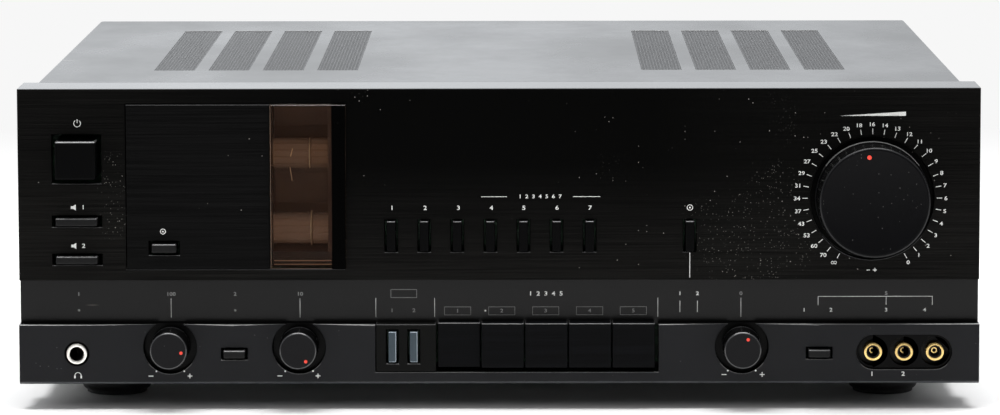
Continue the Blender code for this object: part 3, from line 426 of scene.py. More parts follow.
@dataclass(frozen=True)
class Hairline:
    """Black anodised aluminium with hairlines drawn along its width, and a painted floor reflection
    that can darken it toward its top and middle.
    """

    name: str
    colour: Colour = (0.010, 0.0098, 0.0095)
    roughness: float = 0.30
    shine: float = 0.30
    line_scale: float = 2300.0
    dust: float = 0.10
    drifts: tuple[Step3, ...] = ()
    fade: Span = (0.0, 0.0)

    def make(self) -> bpy.types.Material:
        """Write the material.

        Returns:
            The new material.
        """
        recipe = Recipe(self.name)
        hair = recipe.noise(1.0, 3.0, 0.7, (14.0, 60.0, self.line_scale))
        broad = recipe.noise(1.0, 2.0, 0.5, (5.0, 20.0, 260.0), (0.0, 2.0, 4.0))
        patch = recipe.noise(14.0, 3.0, 0.55, shift=(1.0, 5.0, 2.0))
        gather = recipe.fit(recipe.noise(13.0, 2.0, shift=(8.0, 0.0, 3.0)), 0.52, 0.70)
        for x, z, reach in self.drifts:
            across = (recipe.along(Axis.WIDTH) - x).raised(2.0)
            up = (recipe.along(Axis.HEIGHT) - z).raised(2.0)
            gather = gather + recipe.fit((across + up).raised(0.5), reach, 0.2 * reach, 0.0, 2.2)
        dust = recipe.specks(520.0, self.dust, 0.15) * recipe.fit(gather, 0.1, 0.5)
        dust = dust + recipe.specks(1000.0, 6.5 * self.dust, 0.17) * recipe.fit(gather, 0.8, 1.6)
        line = recipe.fit(hair, 0.35, 0.68)
        base = recipe.mix(line, shade(self.colour, 0.45), shade(self.colour, 2.1))
        # Painted reflection: the base darkens toward the top and the middle, and stays lighter low
        # down and at the sides, where the floor's reflection falls.
        if self.fade[1]:
            up = recipe.fit(recipe.along(Axis.HEIGHT), *self.fade)
            aside = recipe.fit(recipe.along(Axis.WIDTH).size(), 0.07, 0.19, 0.0, 0.55)
            base = recipe.mix(recipe.fit(up - aside, 0.0, 1.0), base, (0.0004, 0.0004, 0.0003))
        base = recipe.mix(0.7 * dust, base, (0.42, 0.40, 0.37))
        rough = self.roughness + 0.12 * line + 0.07 * broad + 0.06 * patch + 0.2 * dust
        height = 0.8 * hair + 0.2 * broad
        return recipe.set(Base_Color=base, Roughness=rough, Specular_IOR_Level=self.shine,
                          Normal=recipe.bump(height, 0.006 * MM, 0.8))


@dataclass(frozen=True)
class Moulded:
    """Moulded plastic with a fine spark-eroded grain."""

    name: str
    colour: Colour = (0.012, 0.012, 0.013)
    roughness: float = 0.38
    shine: float = 0.5
    grain: float = 0.006 * MM
    glow: float = 0.0
    dust: float = 0.05
    rings: float = 0.0

    def make(self) -> bpy.types.Material:
        """Write the material.

        Returns:
            The new material.
        """
        recipe = Recipe(self.name)
        grain = recipe.noise(3800.0, 2.0)
        if self.rings:
            grain = recipe.noise(1.0, 3.0, 0.7, (25.0, 1600.0, 25.0))
        cloud = recipe.noise(60.0, 3.0, shift=(2.0, 0.0, 1.0))
        dust = recipe.specks(520.0, self.dust, 0.12)
        base = recipe.mix(cloud, self.colour, shade(self.colour, 1.5))
        base = recipe.mix(0.35 * dust, base, (0.35, 0.34, 0.33))
        rough = self.roughness + 0.08 * grain + 0.06 * cloud
        return recipe.set(Base_Color=base, Roughness=rough, Specular_IOR_Level=self.shine,
                          Emission_Color=base, Emission_Strength=self.glow,
                          Normal=recipe.bump(grain, max(self.grain, self.rings)))


@dataclass(frozen=True)
class Smoked:
    """Smoked acrylic: dark, glossy and partly see-through."""

    name: str
    colour: Colour
    alpha: float
    roughness: float = 0.10
    shine: float = 0.5
    streaks: float = 0.03

    def make(self) -> bpy.types.Material:
        """Write the material.

        Returns:
            The new material.
        """
        recipe = Recipe(self.name)
        streak = recipe.noise(1.0, 3.0, 0.6, (6.0, 6.0, 700.0))
        haze = recipe.noise(70.0, 4.0, 0.6)
        scratch = recipe.scratches(60.0, 0.20)
        base = recipe.mix(streak, shade(self.colour, 0.85), shade(self.colour, 1.25))
        base = recipe.mix(0.3 * scratch, base, (0.30, 0.27, 0.24))
        rough = self.roughness + self.streaks * streak + 0.04 * haze + 0.1 * scratch
        return recipe.set(Base_Color=base, Roughness=rough, Specular_IOR_Level=self.shine,
                          Alpha=self.alpha, Normal=recipe.bump(streak, 0.001 * MM, 0.5))


@dataclass(frozen=True)
class Metal:
    """Bare or plated metal with fine turning marks and tarnish."""

    name: str
    colour: Colour
    dull: Colour
    roughness: float = 0.25
    mark_scale: float = 900.0
    tarnish: float = 0.35

    def make(self) -> bpy.types.Material:
        """Write the material.

        Returns:
            The new material.
        """
        recipe = Recipe(self.name)
        mark = recipe.noise(self.mark_scale, 3.0, 0.6, (1.0, 6.0, 1.0))
        cloud = recipe.fit(recipe.noise(120.0, 4.0, 0.6), 0.40, 0.75)
        base = recipe.mix(self.tarnish * cloud, self.colour, self.dull)
        rough = self.roughness + 0.10 * mark + 0.12 * cloud
        return recipe.set(Base_Color=base, Roughness=rough, Metallic=1.0 - 0.15 * cloud,
                          Normal=recipe.bump(mark, 0.003 * MM))


@dataclass(frozen=True)
class Copper:
    """Copper-plated sheet, brushed along its width and browned by heat. Its glow, where set, is
    painted light, for the sheet is no lamp.
    """

    name: str
    colour: Colour = (0.52, 0.27, 0.15)
    brown: Colour = (0.20, 0.10, 0.06)
    glow: float = 0.0

    def make(self) -> bpy.types.Material:
        """Write the material.

        Returns:
            The new material.
        """
        recipe = Recipe(self.name)
        brush = recipe.noise(1.0, 3.0, 0.7, (30.0, 30.0, 1700.0))
        heat = recipe.fit(recipe.noise(38.0, 4.0, 0.6), 0.35, 0.70)
        base = recipe.mix(0.8 * heat, self.colour, self.brown)
        return recipe.set(Base_Color=base, Roughness=0.34 + 0.15 * brush, Metallic=0.75,
                          Emission_Color=base, Emission_Strength=self.glow,
                          Normal=recipe.bump(brush, 0.008 * MM))


@dataclass(frozen=True)
class Anode:
    """Blackened anode sheet with a painted amber glow on it, though the sheet is no lamp."""

    name: str
    middle: float
    half: float
    glow: Colour
    rough: float
    sheet: Colour = (0.035, 0.022, 0.015)

    def make(self) -> bpy.types.Material:
        """Write the material.

        Returns:
            The new material.
        """
        recipe = Recipe(self.name)
        # Painted light: a band round the middle height glows amber, broken up by streaks, weave and
        # cloud.
        reach = (recipe.along(Axis.HEIGHT) - self.middle).size()
        band = recipe.fit(reach, self.half, 0.45 * self.half)
        streak = recipe.noise(1.0, 3.0, 0.6, (60.0, 20.0, 1500.0))
        weave = recipe.noise(1.0, 2.0, 0.6, (900.0, 300.0, 1400.0))
        cloud = recipe.noise(90.0, 2.0)
        light = band * (0.55 + 0.45 * streak + self.rough * (weave - 0.5) + 0.4 * (cloud - 0.5))
        glow = recipe.mix(light, shade(self.glow, 0.16), self.glow)
        return recipe.set(Base_Color=recipe.mix(streak, self.sheet, (0.06, 0.038, 0.025)),
                          Roughness=0.5 + 0.2 * streak, Metallic=0.3 + 0.2 * streak,
                          Emission_Color=glow, Emission_Strength=1.0,
                          Normal=recipe.bump(weave, 0.05 * MM))


@dataclass(frozen=True)
class Glass:
    """Thin tube glass with a silver getter flash inside its domed end."""

    name: str
    dome: float
    flash_length: float = 5 * MM
    alpha: float = 0.06

    def make(self) -> bpy.types.Material:
        """Write the material.

        Returns:
            The new material.
        """
        recipe = Recipe(self.name)
        cloud = recipe.noise(260.0, 3.0)
        start = self.dome - self.flash_length
        flash = recipe.fit(recipe.along(Axis.WIDTH) + 0.0006 * cloud, start, start + 1.5 * MM)
        base = recipe.mix(flash, (0.16, 0.10, 0.06), (0.20, 0.17, 0.15))
        return recipe.set(Base_Color=base, Roughness=0.03 + 0.05 * cloud, Metallic=0.85 * flash,
                          Alpha=self.alpha + (0.95 - self.alpha) * flash,
                          Normal=recipe.bump(cloud, 0.01 * MM))


@dataclass(frozen=True)
class Rubber:
    """Matt rubber with a soft grain and floor dust low down."""

    name: str
    colour: Colour = (0.014, 0.014, 0.014)
    dust_height: float = 4 * MM

    def make(self) -> bpy.types.Material:
        """Write the material.

        Returns:
            The new material.
        """
        recipe = Recipe(self.name)
        grain = recipe.noise(1600.0, 3.0)
        low = recipe.fit(recipe.along(Axis.HEIGHT), self.dust_height, 0.0)
        dust = low * recipe.fit(recipe.noise(300.0, 3.0), 0.45, 0.75)
        base = recipe.mix(0.35 * dust, self.colour, (0.16, 0.15, 0.14))
        return recipe.set(Base_Color=base, Roughness=0.62 + 0.2 * grain,
                          Normal=recipe.bump(grain, 0.03 * MM))


@dataclass(frozen=True)
class Zinc:
    """Galvanised steel sheet with its spangle."""

    name: str
    colour: Colour = (0.42, 0.43, 0.43)
    roughness: float = 0.36

    def make(self) -> bpy.types.Material:
        """Write the material.

        Returns:
            The new material.
        """
        recipe = Recipe(self.name)
        cells = recipe.cells(160.0)
        flake = recipe.part_of(cells.outputs["Color"], 0)
        cloud = recipe.noise(30.0, 3.0)
        base = recipe.mix(flake, shade(self.colour, 0.75), self.colour)
        base = recipe.mix(0.25 * cloud, base, (0.22, 0.22, 0.21))
        return recipe.set(Base_Color=base, Roughness=self.roughness + 0.2 * flake, Metallic=0.85,
                          Normal=recipe.bump(recipe.noise(700.0), 0.006 * MM))


@dataclass(frozen=True)
class Board:
    """Circuit board: solder mask with tracks, pads and a white legend grid."""

    name: str
    mask: Colour = (0.018, 0.085, 0.035)
    track: Colour = (0.035, 0.15, 0.06)
    pad: Colour = (0.60, 0.58, 0.52)

    def make(self) -> bpy.types.Material:
        """Write the material.

        Returns:
            The new material.
        """
        recipe = Recipe(self.name)
        lanes = recipe.node("ShaderNodeTexVoronoi", {"distance": "CHEBYCHEV"}, {
            "Vector": recipe.place(), "Scale": 210.0, "Randomness": 0.75})
        track = recipe.fit(lanes.outputs["Distance"], 0.36, 0.40)
        dots = recipe.cells(330.0, 0.25)
        pad = recipe.fit(dots.outputs["Distance"], 0.20, 0.16)
        pad = pad * (recipe.part_of(dots.outputs["Color"], 0) < 0.4)
        base = recipe.mix(track, self.mask, self.track)
        base = recipe.mix(pad, base, self.pad)
        return recipe.set(Base_Color=base, Roughness=0.42 - 0.15 * pad, Metallic=0.8 * pad,
                          Normal=recipe.bump(track + pad, 0.03 * MM))


@dataclass(frozen=True)
class WoundCore:
    """Stacked iron laminations, with the taped winding where it stands out."""

    name: str
    middle: float
    half_core: float = 25.2 * MM
    iron: Colour = (0.075, 0.068, 0.062)
    tape: Colour = (0.34, 0.19, 0.05)

    def make(self) -> bpy.types.Material:
        """Write the material.

        Returns:
            The new material.
        """
        recipe = Recipe(self.name)
        sheets = recipe.node("ShaderNodeTexWave", {"bands_direction": "Y"}, {
            "Vector": recipe.place(), "Scale": 320.0, "Distortion": 0.4})
        sheet = Wire(recipe, sheets.outputs[1])
        wound = (recipe.along(Axis.DEPTH) - self.middle).size() > self.half_core
        layer = recipe.noise(1.0, 2.0, 0.5, (20.0, 20.0, 400.0))
        taped = recipe.mix(layer, shade(self.tape, 0.7), self.tape)
        iron = recipe.mix(sheet, self.iron, shade(self.iron, 1.8))
        return recipe.set(Base_Color=recipe.mix(wound, iron, taped),
                          Roughness=0.5 - 0.2 * wound, Metallic=0.6 - 0.6 * wound,
                          Normal=recipe.bump(sheet, 0.05 * MM))


@dataclass(frozen=True)
class CanSleeve:
    """Shrunk plastic sleeve of a capacitor, with its bare aluminium end."""

    name: str
    top: float
    colour: Colour = (0.012, 0.020, 0.055)

    def make(self) -> bpy.types.Material:
        """Write the material.

        Returns:
            The new material.
        """
        recipe = Recipe(self.name)
        bare = recipe.along(Axis.HEIGHT) > self.top - 0.3 * MM
        wave = recipe.noise(220.0, 3.0)
        stripe = recipe.fit(recipe.along(Axis.WIDTH).size(), 23.0 * MM, 24.0 * MM)
        sleeve = recipe.mix(0.12 * stripe, self.colour, (0.5, 0.5, 0.52))
        return recipe.set(Base_Color=recipe.mix(bare, sleeve, (0.62, 0.62, 0.62)),
                          Roughness=0.28 + 0.15 * wave, Metallic=0.9 * bare,
                          Normal=recipe.bump(wave, 0.05 * MM))


@dataclass(frozen=True)
class Ink:
    """Screen-printed ink, slightly uneven at its edges."""

    name: str
    colour: Colour
    # Painted light: the ink glows by this much, though it is no lamp.
    glow: float = 0.0

    def make(self) -> bpy.types.Material:
        """Write the material.

        Returns:
            The new material.
        """
        recipe = Recipe(self.name)
        wear = recipe.fit(recipe.noise(2600.0, 3.0, 0.6), 0.30, 0.60)
        base = recipe.mix(wear, shade(self.colour, 0.72), self.colour)
        return recipe.set(Base_Color=base, Roughness=0.55 + 0.1 * wear,
                          Emission_Color=base, Emission_Strength=self.glow,
                          Normal=recipe.bump(wear, 0.004 * MM))


class Finishes:
    """Every finish of the amplifier, made once and shared."""

    def __init__(self) -> None:
        """Write all materials."""
        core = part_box("transformer")
        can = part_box("capacitor_left")
        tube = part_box("tube_upper")
        # Numbers follow the order of each class's fields.
        recipes = {
            "cover": SatinPaint("cover_paint", (0.034, 0.035, 0.036), 0.19, 1.85, 0.17),
            "lip": SatinPaint("lip_paint", (0.048, 0.048, 0.049), 0.13, 2.15, 0.06),
            "sheet": SatinPaint("rear_paint", (0.022, 0.022, 0.023), 0.40, 1.5, 0.08),
            "vent": SatinPaint("vent_paint", (0.024, 0.024, 0.025), 0.26, 1.75, 0.05),
            # The fascia's painted reflection darkens it toward its top and middle.
            "fascia": Hairline("fascia_hairline", (0.0050, 0.0048, 0.0044), 0.26, 0.035,
                               fade=(0.062, 0.112),
                               drifts=((0.125, 0.102, 0.014), (0.104, 0.079, 0.032),
                                       (0.122, 0.074, 0.026), (-0.176, 0.108, 0.016),
                                       (-0.174, 0.086, 0.014))),
            "inset": Hairline("inset_hairline", (0.0022, 0.0022, 0.0022), 0.30, 0.045, 1500.0, 0.05),
            "lower": Moulded("lower_panel_paint", (0.0050, 0.0052, 0.0063), 0.40, 0.18,
                             0.010 * MM),
            "knob": Moulded("knob_plastic", (0.0032, 0.0032, 0.0038), 0.36, 0.14, dust=0.10),
            "knob_side": Moulded("knob_side_plastic", (0.0022, 0.0022, 0.0023), 0.15, 0.35,
                                 0.0004 * MM, dust=0.0, rings=0.010 * MM),
            "button": Moulded("button_plastic", (0.0010, 0.0010, 0.0011), 0.30, 0.04),
            "slim": Moulded("slim_button_plastic", (0.0042, 0.0042, 0.0043), 0.34, 0.14),
            # Painted highlight: a lighter, glossier plastic for up-facing roundings of caps and
            # plates.
            "cap_edge": Moulded("cap_rim", (0.050, 0.050, 0.050), 0.20, 1.0, 0.001 * MM, dust=0.0),
            # Painted reflection: a lighter bluish paint on the lower panel's down-facing foot
            # chamfer.
            "chamfer": Moulded("chamfer_paint", (0.034, 0.037, 0.040), 0.34, 0.5, 0.004 * MM),
            # Painted shade: near-black gloss in the wells behind the lower panel's face.
            "well": Moulded("well_black", (0.0008, 0.0008, 0.0008), 0.18, 0.06, 0.001 * MM),
            # Painted highlights: lighter plastic on the knobs' chamfers and on the volume knob's
            # crest.
            "rim": Moulded("knob_rim", (0.016, 0.016, 0.017), 0.20, 0.7, 0.001 * MM, dust=0.0),
            "crest": Moulded("crest_plastic", (0.13, 0.13, 0.13), 0.20, 1.6, 0.001 * MM, dust=0.0),
            "volume_rim": Moulded("volume_rim", (0.006, 0.006, 0.0065), 0.24, 0.22, 0.001 * MM,
                                  dust=0.0),
            "bay": Moulded("bay_plastic", (0.0018, 0.0018, 0.0016), 0.42, 0.09),
            "volume_face": Moulded("volume_knob_plastic", (0.0016, 0.0016, 0.0020), 0.36, 0.08,
                                   dust=0.30),
            "key": Hairline("key_hairline", (0.0015, 0.0016, 0.0020), 0.32, 0.055, 1300.0, 0.05),
            "block": Moulded("block_plastic", (0.0065, 0.0065, 0.0072), 0.45, 0.3),
            "window": Smoked("window_acrylic", (0.020, 0.009, 0.005), 0.22, 0.05, 0.06, 0.02),
            "mask": Moulded("window_mask_paint", (0.0004, 0.0004, 0.0004), 0.06, 0.012,
                            0.0005 * MM, dust=0.01),
            "strip": Smoked("strip_acrylic", (0.0062, 0.0060, 0.0060), 1.0, 0.20, 0.18),
            "frosted": Moulded("frosted_acrylic", (0.030, 0.044, 0.055), 0.22, 0.25, 0.004 * MM),
            # Painted highlight: a pale finish for the frosted caps' roundings.
            "frosted_edge": Moulded("frosted_rim", (0.28, 0.33, 0.37), 0.18, 0.6, 0.002 * MM),
            "gold": Metal("gold_plate", (0.86, 0.62, 0.24), (0.50, 0.32, 0.12), 0.20),
            "nickel": Metal("nickel_plate", (0.80, 0.80, 0.76), (0.45, 0.44, 0.41), 0.22),
            "steel": Metal("shaft_steel", (0.55, 0.55, 0.54), (0.28, 0.27, 0.26), 0.32),
            "dark_steel": Metal("frame_steel", (0.10, 0.10, 0.105), (0.05, 0.05, 0.05), 0.45),
            "screw": Metal("black_zinc_screw", (0.055, 0.055, 0.058), (0.03, 0.03, 0.03), 0.34),
            # Painted light: the anodes glow in amber bands, though they are no lamps.
            "anode_upper": Anode("upper_anode", 115.8 * MM, 7.4 * MM, (0.094, 0.044, 0.021), 0.2),
            "anode_lower": Anode("lower_anode", 81.0 * MM, 7.6 * MM, (0.120, 0.062, 0.036), 1.5),
            # Painted light: the tray, its foot flange and its beads glow, though they are no lamps;
            # the beads paint thin highlight lines.
            "tray": Copper("tray_copper", (0.075, 0.040, 0.024), (0.035, 0.018, 0.013), 0.10),
            "tray_foot": Copper("foot_copper", (0.030, 0.017, 0.011), (0.014, 0.009, 0.007), 0.05),
            "bead": Copper("bead_copper", (0.30, 0.17, 0.10), (0.20, 0.11, 0.07), 0.14),
            "mica": Moulded("mica_sheet", (0.66, 0.48, 0.29), 0.25, 0.3, 0.01 * MM),
            "copper": Copper("copper_sheet"),
            "glass": Glass("tube_glass", tube[1].x),
            "rubber": Rubber("foot_rubber"),
            "zinc": Zinc("pan_zinc"),
            "board": Board("circuit_board"),
            "core": WoundCore("transformer_iron", (core[0].y + core[1].y) / 2),
            "can": CanSleeve("capacitor_sleeve", can[1].z),
            "sink": Hairline("sink_aluminium", (0.020, 0.020, 0.022), 0.38, 0.5, 900.0, 0.0),
            "white_ink": Ink("white_ink", (0.88, 0.88, 0.86)),
            "grey_ink": Ink("grey_ink", (0.26, 0.26, 0.255)),
            # Painted light: the red mark glows a little, though it is no lamp.
            "red_ink": Ink("red_mark", (0.80, 0.055, 0.030), 0.35),
            "lens": Moulded("lamp_lens", (0.22, 0.22, 0.21), 0.2, 0.6, 0.001 * MM),
            # Painted highlight: a lighter finish for up-facing roundings.
            "edge": Moulded("bright_edge", (0.030, 0.030, 0.031), 0.26, 0.55, 0.001 * MM),
            # Painted highlight on the window's up-facing roundings, and painted glints on its rim.
            "window_top": Smoked("window_top", (0.16, 0.155, 0.150), 0.6, 0.14, 0.5),
            "window_edge": Smoked("window_rim", (0.11, 0.070, 0.045), 0.85, 0.14, 0.5),
            "cream_metal": Metal("cream_plate", (0.92, 0.90, 0.84), (0.75, 0.70, 0.60), 0.32,
                                 tarnish=0.2),
            "red_plastic": Moulded("red_plastic", (0.42, 0.018, 0.015), 0.32),
            "white_plastic": Moulded("white_plastic", (0.62, 0.61, 0.57), 0.35),
        }
        self.made = {key: recipe.make() for key, recipe in recipes.items()}

    def __getitem__(self, key: str) -> bpy.types.Material:
        """Give one finish by its short name."""
        return self.made[key]


# Modelling


def drop_selection() -> None:
    """Deselect every object, because an operator acts on all that is selected."""
    for thing in bpy.context.view_layer.objects:
        thing.select_set(False)


def take(piece: bpy.types.Object) -> None:
    """Make one object the only selected and active one.

    Args:
        piece: the object.
    """
    drop_selection()
    piece.select_set(True)
    bpy.context.view_layer.objects.active = piece


@contextmanager
def editing(piece: bpy.types.Object, mode: str = "FACE") -> Iterator[bmesh.types.BMesh]:
    """Edit a piece's mesh.

    Args:
        piece: the object to edit.
        mode: what is selected: VERT, EDGE or FACE.

    Yields:
        The mesh in edit mode.
    """
    take(piece)
    bpy.ops.object.mode_set(mode="EDIT")
    bpy.ops.mesh.select_mode(type=mode)
    try:
        yield bmesh.from_edit_mesh(piece.data)
    finally:
        bpy.ops.object.mode_set(mode="OBJECT")


def pick(mesh: bmesh.types.BMesh, kind: str, wanted: Callable[[object], bool]) -> None:
    """Select the faces, edges or vertices that pass a test, and nothing else.

    Args:
        mesh: the mesh in edit mode.
        kind: faces, edges or verts.
        wanted: the test.
    """
    bpy.ops.mesh.select_all(action="DESELECT")
    for part in getattr(mesh, kind):
        if wanted(part):
            part.select_set(True)
    mesh.select_flush_mode()


def pick_edges(mesh: bmesh.types.BMesh, wanted: Callable[[Vector], bool]) -> None:
    """Select the edges that have both ends at places that pass a test."""
    pick(mesh, "edges", lambda edge: all(wanted(vertex.co) for vertex in edge.verts))


def cut(axis: Axis, place: float) -> None:
    """Cut the mesh in edit mode right through, square to an axis."""
    bpy.ops.mesh.select_all(action="SELECT")
    bpy.ops.mesh.bisect(plane_co=axis.vector * place, plane_no=axis.vector)


def pull(*way: float) -> None:
    """Extrude what is selected by a way along x, y and z."""
    bpy.ops.mesh.extrude_region_move(TRANSFORM_OT_translate={"value": way})


def push(*way: float) -> None:
    """Move what is selected by a way along x, y and z."""
    bpy.ops.transform.translate(value=way)


def settle(piece: bpy.types.Object) -> bpy.types.Object:
    """Put an object's place, turn and scale into its mesh.

    Args:
        piece: the object.

    Returns:
        The same object.
    """
    take(piece)
    bpy.ops.object.transform_apply(location=True, rotation=True, scale=True)
    return piece


def added(name: str, operator: Callable[..., object], scale: Sequence[float] = (1.0, 1.0, 1.0),
          **settings: object) -> bpy.types.Object:
    """Add an object with an operator.

    Args:
        name: the object's name.
        operator: the operator that adds it.
        scale: how far it is stretched along x, y and z.
        settings: the operator's settings.

    Returns:
        The object, with its place, turn and scale in its mesh.
    """
    drop_selection()
    operator(**settings)
    piece = bpy.context.active_object
    piece.name = name
    piece.scale = scale
    return settle(piece)


def modify(piece: bpy.types.Object, kind: str, **settings: object) -> None:
    """Apply one modifier.

    Args:
        piece: the object to change.
        kind: the modifier's type.
        settings: its values.
    """
    take(piece)
    modifier = piece.modifiers.new(kind.lower(), kind)
    for key, value in settings.items():
        setattr(modifier, key, value)
    bpy.ops.object.modifier_apply(modifier=modifier.name)


def smooth(piece: bpy.types.Object, degrees: float = 35.0) -> bpy.types.Object:
    """Shade a piece smooth, but for edges sharper than an angle.

    Args:
        piece: the object.
        degrees: the angle.

    Returns:
        The same object.
    """
    take(piece)
    bpy.ops.object.shade_smooth_by_angle(angle=math.radians(degrees))
    return piece


def round_edges(piece: bpy.types.Object, width: float, segments: int = 3,
                degrees: float = 40.0) -> bpy.types.Object:
    """Round every edge sharper than an angle, and mark the rounding's faces.

    Args:
        piece: the object to change.
        width: the rounding's width.
        segments: how many faces it has.
        degrees: the angle.

    Returns:
        The piece, shaded smooth, with its second finish on its edges.
    """
    keep_room(piece, 2)
    modify(piece, "BEVEL", width=width, segments=segments, limit_method="ANGLE", material=1,
           angle_limit=math.radians(degrees), use_clamp_overlap=False)
    smooth(piece)
    modify(piece, "WEIGHTED_NORMAL", keep_sharp=True, weight=100)
    return piece


def keep_room(piece: bpy.types.Object, count: int) -> None:
    """Give a piece room for a number of finishes."""
    while len(piece.data.materials) < count:
        piece.data.materials.append(None)


def mark_faces(piece: bpy.types.Object, wanted: Callable[[bpy.types.MeshPolygon], bool],
               index: int = 1) -> None:
    """Mark the faces that pass a test for another finish.

    Args:
        piece: the object.
        wanted: the test.
        index: the finish's place in the piece's list.
    """
    keep_room(piece, index + 1)
    for polygon in piece.data.polygons:
        if wanted(polygon):
            polygon.material_index = index


def box_piece(name: str, low: Sequence[float], high: Sequence[float]) -> bpy.types.Object:
    """Start a piece as a box between two corners.

    Args:
        name: the piece's name.
        low: its lowest corner.
        high: its highest corner.

    Returns:
        The new piece.
    """
    middle = [(a + b) / 2 for a, b in zip(low, high)]
    size = [b - a for a, b in zip(low, high)]
    return added(name, bpy.ops.mesh.primitive_cube_add, size, size=1.0, location=middle)


def at(x: float, depth: float, z: float) -> Vector:
    """Give a place from x, the depth behind the fascia's face and z."""
    return Vector((x, FACE_Y + depth, z))


def turned(name: str, centre: Vector, axis: Axis, profile: Sequence[Step],
           sides: int = 48) -> bpy.types.Object:
    """Turn a profile about an axis, ring by ring.

    Args:
        name: the piece's name.
        centre: the point that the profile's places are measured from.
        axis: the direction of the axis.
        profile: each ring's place along the axis and radius; 0 closes an end.
        sides: how many sides a ring has.

    Returns:
        The turned piece.
    """
    first = 1 if profile[0][1] == 0 else 0
    piece = added(name, bpy.ops.mesh.primitive_circle_add, vertices=sides,
                  radius=profile[first][1], fill_type="NOTHING", rotation=axis.turn,
                  location=centre + axis.vector * profile[first][0])
    with editing(piece, "VERT"):
        bpy.ops.mesh.select_all(action="SELECT")
        previous = profile[first]
        for step in profile[first + 1:]:
            add_ring(centre, axis, previous, step)
            previous = step
    if first:
        with editing(piece, "VERT") as mesh:
            mesh.verts.ensure_lookup_table()
            ring = {mesh.verts[index] for index in range(sides)}
            pick(mesh, "verts", lambda vertex: vertex in ring)
            add_ring(centre, axis, profile[1], profile[0])
    with editing(piece, "VERT"):
        bpy.ops.mesh.select_all(action="SELECT")
        if profile[0] == profile[-1]:
            bpy.ops.mesh.remove_doubles(threshold=MERGE)
        bpy.ops.mesh.normals_make_consistent(inside=False)
    return smooth(piece, 32.0)


def add_ring(centre: Vector, axis: Axis, previous: Step, step: Step) -> None:
    """Extrude the selected ring of a turned piece to its next place and radius.

    Args:
        centre: the point that places are measured from.
        axis: the piece's axis.
        previous: the selected ring's place and radius.
        step: the next ring's place and radius.
    """
    shift = axis.vector * (step[0] - previous[0])
    bpy.ops.mesh.extrude_region_move(TRANSFORM_OT_translate={"value": shift})
    if step[1] == 0:
        bpy.ops.mesh.merge(type="CENTER")
    elif step[1] != previous[1]:
        ratio = step[1] / previous[1]
        bpy.ops.transform.resize(value=(ratio, ratio, ratio),
                                 center_override=centre + axis.vector * step[0])


def arc_steps(middle: Step, radius: float, start: float, end: float, count: int) -> list[Step]:
    """Give the profile steps of a rounding.

    Args:
        middle: the rounding's centre, along the axis and out from it.
        radius: its radius.
        start: its first angle in degrees, 0 along the axis and 90 outwards.
        end: its last angle.
        count: how many faces it has.

    Returns:
        Its places and radii.
    """
    angles = [math.radians(start + (end - start) * index / count) for index in range(count + 1)]
    return [(middle[0] + radius * math.cos(a), middle[1] + radius * math.sin(a)) for a in angles]


def copied(piece: bpy.types.Object, name: str, shift: Sequence[float]) -> bpy.types.Object:
    """Copy a piece with its own mesh and move the copy.

    Args:
        piece: the piece to copy.
        name: the copy's name.
        shift: how far the copy lies from it.

    Returns:
        The copy.
    """
    drop_selection()
    take(piece)
    bpy.ops.object.duplicate(linked=False)
    copy = bpy.context.active_object
    copy.name = name
    copy.location = Vector(shift)
    return settle(copy)


def joined(name: str, pieces: Sequence[bpy.types.Object]) -> bpy.types.Object:
    """Join pieces into one object.

    Args:
        name: the joined piece's name.
        pieces: what is joined.

    Returns:
        The joined piece.
    """
    drop_selection()
    for piece in pieces:
        piece.select_set(True)
    bpy.context.view_layer.objects.active = pieces[0]
    if len(pieces) > 1:
        bpy.ops.object.join()
    pieces[0].name = name
    return pieces[0]


def refined(node: str, name: str, width: float, holes: Sequence[float] = (),
            shaping: Callable[[bpy.types.Object], None] | None = None) -> bpy.types.Object:
    """Copy a node's solid, clean its mesh and round its edges.

    A seam is cut upright through the middle of every hole, because a cleaned
    face can't have a hole in it.

    Args:
        node: the node to start from.
        name: the new piece's name.
        width: how far the edges are rounded.
        holes: where the middles of its holes lie across the width.
        shaping: what else is done to its shape before the edges are rounded.

    Returns:
        The new piece.
    """
    piece = bpy.data.objects.new(name, FRAME["nodes"][node].data.copy())
    bpy.context.scene.collection.objects.link(piece)
    piece.data.materials.clear()
    keep_room(piece, 3)
    take(piece)
    bpy.ops.mesh.customdata_custom_splitnormals_clear()
    with editing(piece, "VERT"):
        bpy.ops.mesh.select_all(action="SELECT")
        bpy.ops.mesh.remove_doubles(threshold=MERGE)
        for x in holes:
            cut(Axis.WIDTH, x)
            bpy.ops.mesh.mark_seam(clear=False)
        bpy.ops.mesh.select_all(action="SELECT")
        bpy.ops.mesh.dissolve_limited(angle_limit=math.radians(0.5), delimit={"SEAM"})
    if shaping:
        shaping(piece)
    return round_edges(piece, width, 2)


def keep_lit(piece: bpy.types.Object) -> None:
    """Keep the painted highlight finish only on roundings that face up, where light falls; the rest
    take the plain finish.
    """
    mark_faces(piece, lambda face: face.material_index == 1 and face.normal.z < PAINTED_HIGHLIGHT_SLOPE, 0)


def middles(*nodes: str) -> list[float]:
    """Give where the middles of some nodes lie across the width."""
    return [(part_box(node)[0].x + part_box(node)[1].x) / 2 for node in nodes]


